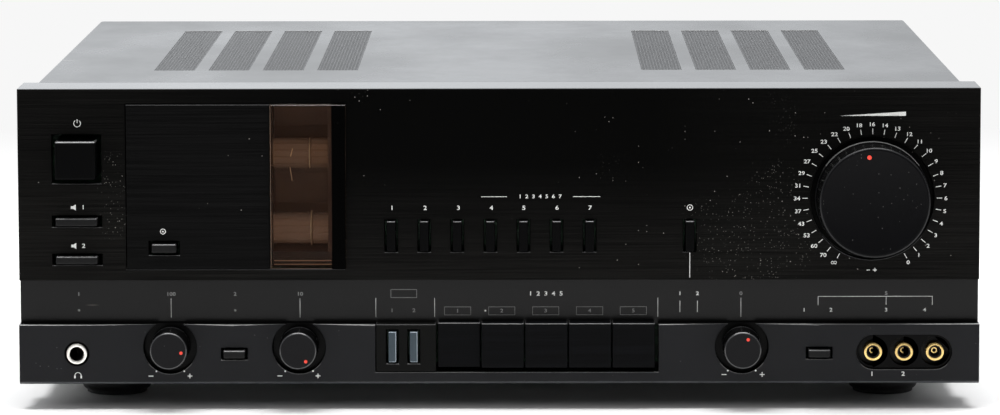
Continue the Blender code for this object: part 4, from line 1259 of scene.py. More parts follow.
@dataclass
class Fitter:
    """Dresses finished pieces and fixes them to their bodies."""

    finishes: Finishes

    def fit(self, piece: bpy.types.Object, finish: str, slot: str | None = "black_plastic",
            body: str = ROOT, replaces: Sequence[str] = (),
            others: Sequence[str] = ()) -> bpy.types.Object:
        """Give a piece its finishes and its body.

        Args:
            piece: the finished piece.
            finish: the finish's short name.
            slot: the record's material slot, or None for print; not used.
            body: the body that carries it.
            replaces: the nodes that it stands for.
            others: the finishes of the faces that are marked for another one. Marks
                that are left take the first finish.

        Returns:
            The same piece.
        """
        keys = [finish, *others]
        keys += [finish] * (len(piece.data.materials) - len(keys))
        keep_room(piece, len(keys))
        for index, key in enumerate(keys):
            piece.data.materials[index] = self.finishes[key]
        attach(piece, body)
        if replaces:
            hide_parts(*replaces)
        LOG.info("%s: %d faces on %s", piece.name, len(piece.data.polygons), body)
        return piece

    def turn(self, name: str, centre: Vector, axis: Axis, profile: Sequence[Step], sides: int,
             finish: str, slot: str = "black_plastic", **more: object) -> bpy.types.Object:
        """Turn a piece and fit it."""
        return self.fit(turned(name, centre, axis, profile, sides), finish, slot, **more)

    def block(self, name: str, low: Sequence[float], high: Sequence[float], width: float,
              finish: str = "block", slot: str = "black_plastic", segments: int = 2,
              **more: object) -> bpy.types.Object:
        """Make a box with rounded edges and fit it."""
        piece = round_edges(box_piece(name, low, high), width, segments)
        return self.fit(piece, finish, slot, **more)

    def dress(self, node: str, finish: str) -> None:
        """Give a node that is carried over a better finish.

        Args:
            node: the node.
            finish: the finish's short name.
        """
        for holder in FRAME["nodes"][node].material_slots:
            holder.material = self.finishes[finish]
        LOG.info("%s keeps its solid and takes %s", node, finish)


# Print


@dataclass
class Print:
    """Marks printed on one flat face, joined into one piece."""

    name: str
    depth: float
    facing: Facing = Facing.FRONT
    marks: list[bpy.types.Object] = field(default_factory=list)

    @property
    def outer(self) -> float:
        """Give the depth of the ink's outer face."""
        out = -INK_THICKNESS if self.facing is Facing.FRONT else INK_THICKNESS
        return self.depth + out

    def number(self, text: str, x: float, z: float, height: float) -> None:
        """Print plain digits.

        Args:
            text: the digits.
            x: their middle.
            z: their middle.
            height: how tall a digit is.
        """
        drop_selection()
        bpy.ops.object.text_add(location=at(x, self.outer, z), rotation=self.facing.value)
        mark = bpy.context.active_object
        mark.data.body = text
        mark.data.align_x = "CENTER"
        mark.data.align_y = "CENTER"
        mark.data.size = height / DIGIT_SHARE
        mark.data.resolution_u = 3
        mark.data.offset = DIGIT_WEIGHT * height
        mark.scale = (DIGIT_WIDENING, 1.0, 1.0)
        take(mark)
        bpy.ops.object.convert(target="MESH")
        self.marks.append(settle(mark))

    def numbers(self, places: Mapping[float, str], z: float, height: float) -> None:
        """Print a row of numbers.

        Args:
            places: the digits at each x in millimetres.
            z: the row's middle in millimetres.
            height: how tall a digit is.
        """
        for x, text in places.items():
            self.number(text, x * MM, z * MM, height)

    def uprights(self, places: Sequence[float], z: Span, half: float) -> None:
        """Print upright lines, all in millimetres.

        Args:
            places: each line's x.
            z: the lower and upper end.
            half: half of a line's width.
        """
        for x in places:
            self.bar(((x - half) * MM, (x + half) * MM), (z[0] * MM, z[1] * MM))

    def bar(self, x: Span, z: Span, turn: float = 0.0, pivot: Step = (0.0, 0.0)) -> None:
        """Print a straight bar, turned about a point if it is on a dial.

        Args:
            x: its left and right.
            z: its lower and upper end.
            turn: how far it is turned, clockwise as seen from the front.
            pivot: the x and z that it is turned about.
        """
        low, high = sorted((self.outer, self.depth))
        mark = box_piece("mark", at(x[0], low, z[0]), at(x[1], high, z[1]))
        if turn:
            centre = at(pivot[0], 0.0, pivot[1])
            mark.matrix_world = (Matrix.Translation(centre) @ Matrix.Rotation(turn, 4, "Y")
                                 @ Matrix.Translation(-centre))
            settle(mark)
        self.marks.append(mark)

    def box(self, x: Span, z: Span, line: float) -> None:
        """Print an empty box.

        Args:
            x: its left and right.
            z: its lower and upper side.
            line: its line's width.
        """
        self.bar(x, (z[0], z[0] + line))
        self.bar(x, (z[1] - line, z[1]))
        self.bar((x[0], x[0] + line), z)
        self.bar((x[1] - line, x[1]), z)

    def dot(self, x: float, z: float, radius: float, sides: int = 16) -> None:
        """Print a dot.

        Args:
            x: its middle.
            z: its middle.
            radius: its radius.
            sides: how many sides it has.
        """
        self.marks.append(turned("mark", at(x, self.outer, z), Axis.DEPTH,
                                 [(0, 0), (0, radius), (INK_THICKNESS, radius),
                                  (INK_THICKNESS, 0)], sides))

    def shape(self, x: float, z: float, outline: Sequence[Step]) -> None:
        """Print a filled outline.

        Args:
            x: where the outline's origin lies.
            z: where the outline's origin lies.
            outline: its corners, across and up from that origin.
        """
        curve = bpy.data.curves.new("mark", "CURVE")
        curve.dimensions = "2D"
        curve.fill_mode = "BOTH"
        spline = curve.splines.new("POLY")
        spline.points.add(len(outline) - 1)
        for point, (across, up) in zip(spline.points, outline):
            point.co = (across, up, 0.0, 1.0)
        spline.use_cyclic_u = True
        mark = bpy.data.objects.new("mark", curve)
        bpy.context.scene.collection.objects.link(mark)
        take(mark)
        bpy.ops.object.convert(target="MESH")
        mark.location = at(x, self.outer, z)
        mark.rotation_euler = self.facing.value
        self.marks.append(settle(mark))

    def ring(self, x: float, z: float, radius: float, line: float, gap: float = 1.0) -> None:
        """Print a ring that is open at its top by an angle in degrees.

        Args:
            x: its middle.
            z: its middle.
            radius: its outer radius.
            line: its line's width.
            gap: the angle that is left open.
        """
        count = 28
        start = math.radians(90 + gap / 2)
        sweep = math.radians(360 - gap)
        angles = [start + sweep * index / count for index in range(count + 1)]
        outer = [(radius * math.cos(a), radius * math.sin(a)) for a in angles]
        inner = [((radius - line) * math.cos(a), (radius - line) * math.sin(a)) for a in angles]
        self.shape(x, z, outer + inner[::-1])

    def done(self, fitter: Fitter, finish: str) -> None:
        """Join the marks and fit them.

        Args:
            fitter: what dresses the piece.
            finish: the ink's short name.
        """
        fitter.fit(joined(self.name, self.marks), finish, None)


# The studio


@dataclass
class Studio:
    """Camera, floor, backdrop and soft light."""

    camera_place: Step3 = (0.0111, -2.4325, 0.3619)
    yaw: float = -0.27
    pitch: float = 6.844
    roll: float = -0.11
    focal_pixels: float = 4967.0
    frame_pixels: float = 1000.0
    sensor: float = 36.0
    lamp_place: Step3 = (0.0, -0.17, 1.9)
    lamp_size: Step = (1.8, 1.0)
    lamp_power: float = 66.0
    sky: float = 0.744
    mirrored_tint: Colour = (0.955, 0.985, 1.02)
    floor_size: float = 14.0
    floor_tone: float = 0.91
    floor_end: Span = (0.34, 1.1)
    backdrop_tone: float = 0.93

    def build(self) -> None:
        """Make everything that isn't part of the object."""
        self.set_camera()
        self.set_room()
        self.hang_lamp()
        self.lay_floor()
        bpy.context.scene.view_settings.view_transform = "Standard"

    def set_camera(self) -> None:
        """Place the camera where the photograph was taken."""
        yaw, pitch, roll = (math.radians(a) for a in (self.yaw, self.pitch, self.roll))
        ahead = Vector((math.sin(yaw) * math.cos(pitch), math.cos(yaw) * math.cos(pitch),
                        -math.sin(pitch)))
        level = Vector((math.cos(yaw), -math.sin(yaw), 0.0))
        above = level.cross(ahead)
        right = level * math.cos(roll) + above * math.sin(roll)
        up = above * math.cos(roll) - level * math.sin(roll)
        data = bpy.data.cameras.new("camera")
        data.sensor_fit = "HORIZONTAL"
        data.sensor_width = self.sensor
        data.lens = self.focal_pixels / self.frame_pixels * self.sensor
        data.clip_start = 0.05
        data.clip_end = 100.0
        camera = bpy.data.objects.new("camera", data)
        bpy.context.scene.collection.objects.link(camera)
        turn = Matrix((right, up, -ahead)).transposed().to_4x4()
        camera.matrix_world = Matrix.Translation(Vector(self.camera_place)) @ turn
        bpy.context.scene.camera = camera

    def set_room(self) -> None:
        """Light the room: white to the camera, and brighter behind and above in reflections."""
        world = bpy.data.worlds.new("room")
        bpy.context.scene.world = world
        world.use_nodes = True
        room = Nodes(world.node_tree)
        place = room.node("ShaderNodeTexCoord").outputs["Generated"]
        across, deep, high = room.node("ShaderNodeSeparateXYZ", inputs={0: place}).outputs
        rays = room.node("ShaderNodeLightPath").outputs

        def ramp(value: bpy.types.NodeSocket, reach: Span, light: Span) -> Wire:
            """Map a direction's part to a brightness, softly at both ends."""
            return room.fit(value, *reach, *light, "SMOOTHSTEP")

        def background(light: object, tint: Colour = (1.0, 1.0, 1.0)) -> bpy.types.NodeSocket:
            """Add a background of one strength and tint."""
            return room.node("ShaderNodeBackground", inputs={0: tint, 1: light}).outputs[0]

        behind = ramp(deep, (-0.35, 0.30), (0.10, 0.95))
        above = ramp(high, (0.15, 0.80), (0.0, 0.75))
        aside = ramp(across, (-0.12, 0.12), (1.16, 0.86))
        ahead = ramp(deep, (-0.15, 0.15), (1.0, 0.0))
        back = ramp(deep, (-0.15, 0.15), (0.0, 1.0))
        band = ramp(high, (0.22, 0.50), (0.02, 0.78)) * ramp(high, (0.60, 0.85), (1.0, 0.30))
        sky = ramp(high, (0.06, 0.50), (0.04, self.sky))
        plain = background(ahead * band + back * sky)
        mirrored = background(behind.larger(above) * aside, self.mirrored_tint)
        clear = Wire(room, rays["Is Camera Ray"]).larger(rays["Is Transmission Ray"])
        light = room.blend(rays["Is Glossy Ray"], plain, mirrored)
        light = room.blend(clear, light, background(1.0))
        room.node("ShaderNodeOutputWorld", inputs={0: light})

    def hang_lamp(self) -> None:
        """Hang a wide soft box over the object."""
        data = bpy.data.lights.new("soft_box", "AREA")
        data.shape = "RECTANGLE"
        data.size, data.size_y = self.lamp_size
        data.energy = self.lamp_power
        lamp = bpy.data.objects.new("soft_box", data)
        lamp.location = self.lamp_place
        bpy.context.scene.collection.objects.link(lamp)

    def lay_floor(self) -> None:
        """Lay a pale floor that keeps its shadow near the object and runs out to white."""
        floor = added("floor", bpy.ops.mesh.primitive_plane_add, size=self.floor_size)
        recipe = Recipe("floor_paper")
        cloud = recipe.noise(3.0, 3.0)
        paper = recipe.mix(cloud, (self.floor_tone,) * 3, (0.97 * self.floor_tone,) * 3)
        recipe.set(Base_Color=paper, Roughness=0.55, Specular_IOR_Level=0.25,
                   Normal=recipe.bump(recipe.noise(500.0), 0.02 * MM))
        rays = recipe.node("ShaderNodeLightPath").outputs
        seen = Wire(recipe, rays["Is Camera Ray"]) + Wire(recipe, rays["Is Glossy Ray"])
        across, back = (recipe.along(axis).size().raised(2.0) for axis in (Axis.WIDTH, Axis.DEPTH))
        far = recipe.fit((across + back).raised(0.5), *self.floor_end)
        paper_light = recipe.node("ShaderNodeEmission", inputs={
            "Color": (self.backdrop_tone,) * 3, "Strength": 1.0})
        both = recipe.blend(far * seen, recipe.shader.outputs[0], paper_light.outputs[0])
        recipe.feed(recipe.output.inputs["Surface"], both)
        floor.data.materials.append(recipe.material)


# Screws


@dataclass
class Screws:
    """Black zinc screws with a domed head and a cross recess."""

    fitter: Fitter
    radius: float = 2.9 * MM
    height: float = 1.7 * MM
    slot_width: float = 0.75 * MM
    slot_length: float = 3.3 * MM
    slot_depth: float = 1.2 * MM

    def head(self, name: str, place: Vector, axis: Axis, side: int) -> None:
        """Make one head and fit it.

        Args:
            name: its name.
            place: where it sits.
            axis: the axis that it points along.
            side: 1 to point along the axis, -1 against it.
        """
        steps = [(0.0, 0.0), (0.0, self.radius), (0.35 * self.height, self.radius),
                 (0.72 * self.height, 0.86 * self.radius), (0.95 * self.height, 0.5 * self.radius),
                 (self.height, 0.0)]
        piece = turned(name, place, axis, [(side * a, r) for a, r in steps], 20)
        across = [other for other in Axis if other is not axis]
        for first, second in (across, across[::-1]):
            half = (axis.vector * self.slot_depth + first.vector * self.slot_length / 2
                    + second.vector * self.slot_width / 2)
            middle = place + axis.vector * side * self.height
            cutter = box_piece("cutter", middle - half, middle + half)
            modify(piece, "BOOLEAN", operation="DIFFERENCE", object=cutter, solver="EXACT")
            bpy.data.objects.remove(cutter)
        self.fitter.fit(piece, "screw", "dark_steel")


# The top cover


@dataclass
class TopCover:
    """Bent sheet over the top and both sides, with eight vents and their mesh."""

    fitter: Fitter
    screws: Screws
    sheet: float = 1.2 * MM
    bend: float = 1.8 * MM
    vent_width: float = 19.0 * MM
    vent_start: float = 91.0 * MM
    vent_end: float = 313.0 * MM
    columns: tuple[float, ...] = (76.56, 102.26, 127.96, 153.66)
    hole_pitch: float = 1.5 * MM
    wire: float = 0.16 * MM
    mesh_margin: float = 1.0 * MM
    mesh_drop: float = 0.3 * MM
    mesh_sheet: float = 0.5 * MM
    screw_height: float = 30.0 * MM
    screw_depths: tuple[float, ...] = (70.0, 205.0, 340.0)

    def build(self) -> None:
        """Make the sheet, the meshes and the screws."""
        self.bend_sheet()
        self.lay_meshes()
        self.drive_screws()

    def vent_spans(self) -> list[Span]:
        """Give the left and right side of each vent."""
        middles = [side * column * MM for side in (-1, 1) for column in self.columns]
        return sorted((x - self.vent_width / 2, x + self.vent_width / 2) for x in middles)

    def bend_sheet(self) -> None:
        """Cut, bend and thicken the sheet."""
        low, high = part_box("top_cover")
        middle = (low + high) / 2
        piece = added("cover_sheet", bpy.ops.mesh.primitive_plane_add,
                      (high.x - low.x, high.y - low.y, 1.0), size=1.0,
                      location=(middle.x, middle.y, high.z))
        with editing(piece, "EDGE") as mesh:
            pick(mesh, "edges", lambda edge: abs(edge.verts[0].co.x - edge.verts[1].co.x) < MERGE)
            pull(0.0, 0.0, low.z - high.z)
            for x in [side for span in self.vent_spans() for side in span]:
                cut(Axis.WIDTH, x)
            for depth in (self.vent_start, self.vent_end):
                cut(Axis.DEPTH, FACE_Y + depth)
        with editing(piece) as mesh:
            pick(mesh, "faces", lambda face: self.in_vent(face.calc_center_median(), high.z))
            bpy.ops.mesh.delete(type="FACE")
            bpy.ops.mesh.select_all(action="SELECT")
            bpy.ops.mesh.normals_make_consistent(inside=False)
        with editing(piece, "EDGE") as mesh:
            pick_edges(mesh, lambda place: abs(place.z - high.z) < MERGE
                       and abs(abs(place.x - middle.x) - (high.x - low.x) / 2) < MERGE)
            bpy.ops.mesh.bevel(offset=self.bend, segments=6, profile=0.5)
        up = max(piece.data.polygons, key=lambda p: p.center.z).normal.z
        modify(piece, "SOLIDIFY", thickness=self.sheet, offset=-1.0 if up > 0 else 1.0)
        round_edges(piece, 0.25 * MM, 2, 60.0)
        self.fitter.fit(piece, "cover", "satin_black_paint", replaces=["top_cover"])

    def in_vent(self, place: Vector, top: float) -> bool:
        """Tell whether a place on the top lies in a vent.

        Args:
            place: the place.
            top: how high the top lies.

        Returns:
            True inside a vent.
        """
        deep = FACE_Y + self.vent_start < place.y < FACE_Y + self.vent_end
        return (abs(place.z - top) < MERGE and deep
                and any(left < place.x < right for left, right in self.vent_spans()))

    def lay_meshes(self) -> None:
        """Punch one sheet of fine holes and lay a copy of it under each vent."""
        width = self.vent_width + 2 * self.mesh_margin
        length = self.vent_end - self.vent_start + 2 * self.mesh_margin
        across, along = round(width / self.hole_pitch), round(length / self.hole_pitch)
        left, right = self.vent_spans()[0]
        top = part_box("top_cover")[1].z
        middle = at((left + right) / 2, (self.vent_start + self.vent_end) / 2,
                    top - self.mesh_drop)
        piece = added("vent_mesh_1", bpy.ops.mesh.primitive_grid_add, (width, length, 1.0),
                      x_subdivisions=across, y_subdivisions=along, size=1.0, location=middle)
        corner = piece.bound_box[0]
        with editing(piece) as mesh:
            pick(mesh, "faces", lambda face: self.is_hole(
                face.calc_center_median(), corner, (width / across, length / along)))
            bpy.ops.mesh.inset(thickness=self.wire / 2, use_individual=True, use_boundary=True)
            bpy.ops.mesh.delete(type="FACE")
        modify(piece, "SOLIDIFY", thickness=self.mesh_sheet, offset=-1.0)
        others = [copied(piece, f"vent_mesh_{index + 2}", (span[0] - left, 0.0, 0.0))
                  for index, span in enumerate(self.vent_spans()[1:])]
        for item in [piece, *others]:
            self.fitter.fit(item, "vent", "satin_black_paint")

    def is_hole(self, place: Vector, corner: Sequence[float], pitch: Step) -> bool:
        """Tell whether a cell of the mesh is punched out: every second one, staggered.

        Args:
            place: the cell's middle.
            corner: the first corner of the mesh.
            pitch: a cell's width and length.

        Returns:
            True for a hole.
        """
        column = math.floor((place.x - corner[0]) / pitch[0])
        row = math.floor((place.y - corner[1]) / pitch[1])
        return (column + row) % 2 == 0

    def drive_screws(self) -> None:
        """Drive three screws into each side."""
        low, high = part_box("top_cover")
        for index, depth in enumerate(self.screw_depths):
            for side, x in ((-1, low.x), (1, high.x)):
                name = f"cover_screw_{'left' if side < 0 else 'right'}_{index + 1}"
                self.screws.head(name, at(x, depth * MM, self.screw_height), Axis.WIDTH, side)


# The front


@dataclass
class FrontPlates:
    """Fascia, inset panel, strip, lower panel and the block in the bay."""

    fitter: Fitter
    top_round: float = 0.9 * MM
    foot_drop: float = 0.8 * MM
    foot_chamfer: float = 1.3 * MM
    well_start: float = 0.5 * MM
    edge_reach: float = 1.2 * MM
    side_margin: float = 1.0 * MM

    def build(self) -> None:
        """Refine each plate and dress it."""
        records = [f"record_button_{index}" for index in range(1, 8)]
        upper = middles("power_button", "inset_panel", "tube_window", *records,
                        "cartridge_button", "volume_knob")
        lower = [PHONES_X, *FRONT_PHONOS, *middles(
            "bass_knob", "tone_button", "treble_knob", "av_button_1", "av_button_2",
            "input_button_3", "balance_knob", "source_button")]
        fascia = refined("fascia", "fascia_plate", 0.30 * MM, upper)
        inset = refined("inset_panel", "inset_plate", 0.25 * MM, middles("heater_button"))
        bar = refined("indicator_strip", "smoked_bar", 0.20 * MM, (), self.lengthen_strip)
        panel = refined("lower_panel", "lower_plate", 0.35 * MM, lower, self.soften_lower)
        block = refined("av_block", "bay_block", 0.40 * MM, middles("av_button_1", "av_button_2"))
        # Up-facing roundings keep painted highlights; the lower panel also takes painted shade in
        # its wells and, on its foot chamfer, a painted reflection.
        for piece in (fascia, inset, panel, block):
            keep_lit(piece)
        top = max(face.center.z for face in fascia.data.polygons)
        mark_faces(fascia, lambda face: face.normal.z > SQUARE and top - face.center.z < MERGE, 2)
        self.blacken_wells(panel)
        for piece, node, finish, slot, others in (
                (fascia, "fascia", "fascia", "black_aluminium", ["edge", "lip"]),
                (inset, "inset_panel", "inset", "black_aluminium", ["cap_edge", "edge"]),
                (bar, "indicator_strip", "strip", "smoked_strip", []),
                (panel, "lower_panel", "lower", "black_aluminium", ["cap_edge", "chamfer", "well"]),
                (block, "av_block", "bay", "black_plastic", ["cap_edge", "edge"])):
            self.fitter.fit(piece, finish, slot, replaces=[node], others=others)

    def lengthen_strip(self, piece: bpy.types.Object) -> None:
        """Draw both ends of the strip out to the fascia's width.

        Args:
            piece: the strip.
        """
        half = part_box("fascia")[1].x
        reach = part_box("indicator_strip")[1].x
        with editing(piece, "VERT") as mesh:
            for side in (-1, 1):
                pick(mesh, "verts", lambda vertex: side * vertex.co.x > reach - MERGE)
                push(side * (half - reach), 0.0, 0.0)

    def soften_lower(self, piece: bpy.types.Object) -> None:
        """Round the lower panel's upper edge and chamfer its lower one.

        Args:
            piece: the lower panel.
        """
        low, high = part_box("lower_panel")
        with editing(piece, "VERT") as mesh:
            pick(mesh, "verts", lambda vertex: vertex.co.z - low.z < MERGE)
            push(0.0, 0.0, -self.foot_drop)
        foot = low.z - self.foot_drop
        # The upper rounding takes the painted highlight finish, and the lower chamfer the painted
        # reflection finish.
        with editing(piece, "EDGE") as mesh:
            pick_edges(mesh, lambda place: place.y - low.y < MERGE and high.z - place.z < MERGE)
            bpy.ops.mesh.bevel(offset=self.top_round, segments=4, material=1)
        with editing(piece, "EDGE") as mesh:
            pick_edges(mesh, lambda place: place.y - low.y < MERGE and place.z - foot < MERGE)
            bpy.ops.mesh.bevel(offset=self.foot_chamfer, segments=1, material=2)

    def blacken_wells(self, piece: bpy.types.Object) -> None:
        """Mark what lies behind the lower panel's face for a near-black glossy finish: painted shade
        in the wells.

        Args:
            piece: the lower panel.
        """
        low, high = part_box("lower_panel")

        def is_well(face: bpy.types.MeshPolygon) -> bool:
            """Tell whether a face lies behind the front and inside the outline.

            Args:
                face: the face.

            Returns:
                True for a face of a well.
            """
            start = self.well_start if face.material_index == 0 else self.edge_reach
            inner = abs(face.center.x) < high.x - self.side_margin and face.center.z > low.z
            return face.material_index < 2 and inner and face.center.y > low.y + start

        mark_faces(piece, is_well, 3)


@dataclass
class Button:
    """One cap: the node that it stands for, its finish and the body that it moves with."""

    node: str
    body: str
    finish: str = "button"
    slot: str = "black_plastic"
    land: float = 0.95 * MM
    crown: float = 0.05 * MM
    round: float = 0.30 * MM


@dataclass
class Buttons:
    """Every cap that is pressed."""

    fitter: Fitter
    records: int = 7
    inputs: int = 5

    def caps(self) -> list[Button]:
        """List the caps.

        Returns:
            The caps, group by group.
        """
        return [
            Button("power_button", "power", land=1.3 * MM, round=0.8 * MM),
            *(Button(f"{key}_button", key, "slim", round=0.65 * MM)
              for key in ("speaker_a", "speaker_b", "heater", "tone", "source")),
            *(Button(f"record_button_{index}", f"record_{index}", round=0.45 * MM)
              for index in range(1, self.records + 1)),
            Button("cartridge_button", "cartridge", round=0.45 * MM),
            *(Button(f"av_button_{index}", f"av_{index}", "frosted", "frosted_plastic")
              for index in (1, 2)),
            *(Button(f"input_button_{index}", f"input_{index}", "key", round=0.38 * MM)
              for index in range(1, self.inputs + 1))]

    def build(self) -> None:
        """Make every cap."""
        for cap in self.caps():
            self.mould(cap)

    def mould(self, cap: Button) -> None:
        """Mould one cap: a raised middle inside a narrow land, and rounded edges.

        Args:
            cap: the cap.
        """
        low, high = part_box(cap.node)
        frosted = cap.finish == "frosted"
        piece = box_piece(f"{cap.node}_cap", (low.x, low.y + cap.crown, low.z), high)
        with editing(piece) as mesh:
            pick(mesh, "faces", lambda face: face.normal.y < -SQUARE)
            bpy.ops.mesh.inset(thickness=cap.land)
            push(0.0, -cap.crown, 0.0)
        round_edges(piece, cap.round, 3, 30.0)
        # Plain caps keep a painted highlight on their up-facing roundings only; frosted caps keep it
        # on all but their left-facing ones.
        if frosted:
            mark_faces(piece, lambda face: face.normal.x < -PAINTED_HIGHLIGHT_SLOPE, 0)
        else:
            keep_lit(piece)
        self.fitter.fit(piece, cap.finish, cap.slot, cap.body, [cap.node],
                        ["frosted_edge" if frosted else "cap_edge"])


@dataclass
class Knob:
    """One knob: its node, its body, its steps and its red dot."""

    node: str
    body: str
    dot_angle: float
    dot_reach: float
    dot_size: float
    finish: str = "knob"
    crested: bool = False


@dataclass
class Knobs:
    """The volume knob and the three small ones."""

    fitter: Fitter
    chamfer: float = 0.55 * MM
    crest: float = 2.6 * MM
    dish: float = 0.1 * MM
    rim_normal: float = 0.35
    dot_heights: Span = (0.15 * MM, 0.08 * MM)

    def build(self) -> None:
        """Turn every knob."""
        self.turn_volume(Knob("volume_knob", "volume", -7.5, 20.8 * MM, 1.0 * MM, "volume_face",
                              True))
        for knob in (Knob("bass_knob", "bass", 98.6, 5.8 * MM, 0.75 * MM),
                     Knob("treble_knob", "treble", 144.0, 6.0 * MM, 0.75 * MM),
                     Knob("balance_knob", "balance", 25.5, 5.5 * MM, 0.75 * MM)):
            self.turn_small(knob)

    def axis_of(self, knob: Knob) -> tuple[Vector, float, float, float]:
        """Measure a knob.

        Args:
            knob: the knob.

        Returns:
            Its centre at the fascia's face, its radius, and its front's and back's depth.
        """
        low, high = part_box(knob.node)
        centre = Vector(((low.x + high.x) / 2, FACE_Y, (low.z + high.z) / 2))
        return centre, (high.x - low.x) / 2, low.y - FACE_Y, high.y - FACE_Y

    def turn_volume(self, knob: Knob) -> None:
        """Turn the large knob: flared foot, tapered side, chamfer and dished face.

        Args:
            knob: the knob.
        """
        centre, radius, front, back = self.axis_of(knob)
        face = radius - 1.0 * MM
        profile = [(back, 0.0), (back, radius - 0.4 * MM), (back - 0.4 * MM, radius),
                   (back - 1.8 * MM, radius), (back - 2.4 * MM, radius - 0.35 * MM),
                   (front + 3.0 * MM, face + 0.10 * MM),
                   (front + self.chamfer, face),
                   (front + 0.12 * MM, face - self.chamfer + 0.1 * MM),
                   (front, face - self.chamfer - 0.1 * MM), (front, face - 1.5 * MM),
                   (front + self.dish, face - 1.75 * MM), (front + self.dish, 0.0)]
        self.finish(knob, centre, profile, front, 144)

    def turn_small(self, knob: Knob) -> None:
        """Turn a small knob: straight side, chamfer and flat face.

        Args:
            knob: the knob.
        """
        centre, radius, front, back = self.axis_of(knob)
        profile = [(back, 0.0), (back, radius - 0.3 * MM), (back - 0.3 * MM, radius),
                   (back - 1.5 * MM, radius), (back - 1.9 * MM, radius - 0.25 * MM),
                   (front + 2.2 * MM, radius - 0.45 * MM),
                   (front + 0.5 * MM, radius - 0.55 * MM), (front + 0.1 * MM, radius - 0.95 * MM),
                   (front, radius - 1.1 * MM), (front, 0.0)]
        self.finish(knob, centre, profile, front, 96)

    def finish(self, knob: Knob, centre: Vector, profile: Sequence[Step], front: float,
               sides: int) -> None:
        """Turn a profile, mark its glossy side and its painted highlights, and add the red dot.

        Args:
            knob: the knob.
            centre: the point on its axis that places are measured from.
            profile: its rings.
            front: its face's place along the axis.
            sides: how many sides it has.
        """
        piece = turned(f"{knob.body}_knob_cap", centre, Axis.DEPTH, profile, sides)
        foot = max(face.center.y for face in piece.data.polygons) - self.crest
        mark_faces(piece, lambda face: face.normal.y > -self.rim_normal)
        # The chamfer takes a lighter finish, and the volume knob's crest near its back a lighter one
        # still: painted highlights.
        mark_faces(piece, lambda face: -SQUARE < face.normal.y <= -self.rim_normal, 2)
        if knob.crested:
            mark_faces(piece, lambda face: face.center.y > foot and face.normal.z > 0.5, 3)
        rim = "volume_rim" if knob.crested else "rim"
        self.fitter.fit(piece, knob.finish, body=knob.body, replaces=[knob.node],
                        others=["knob_side", rim, "crest"])
        angle = math.radians(knob.dot_angle)
        face = front + (self.dish if knob.crested else 0.0)
        spot = centre + Vector((knob.dot_reach * math.sin(angle), face,
                                knob.dot_reach * math.cos(angle)))
        sunk, lift = self.dot_heights
        profile = [(sunk, 0.0), (sunk, knob.dot_size), (-0.2 * lift, knob.dot_size),
                   (-0.7 * lift, 0.8 * knob.dot_size), (-lift, 0.0)]
        self.fitter.turn(f"{knob.body}_dot", spot, Axis.DEPTH, profile, 20, "red_ink",
                         body=knob.body)


# The tube stage


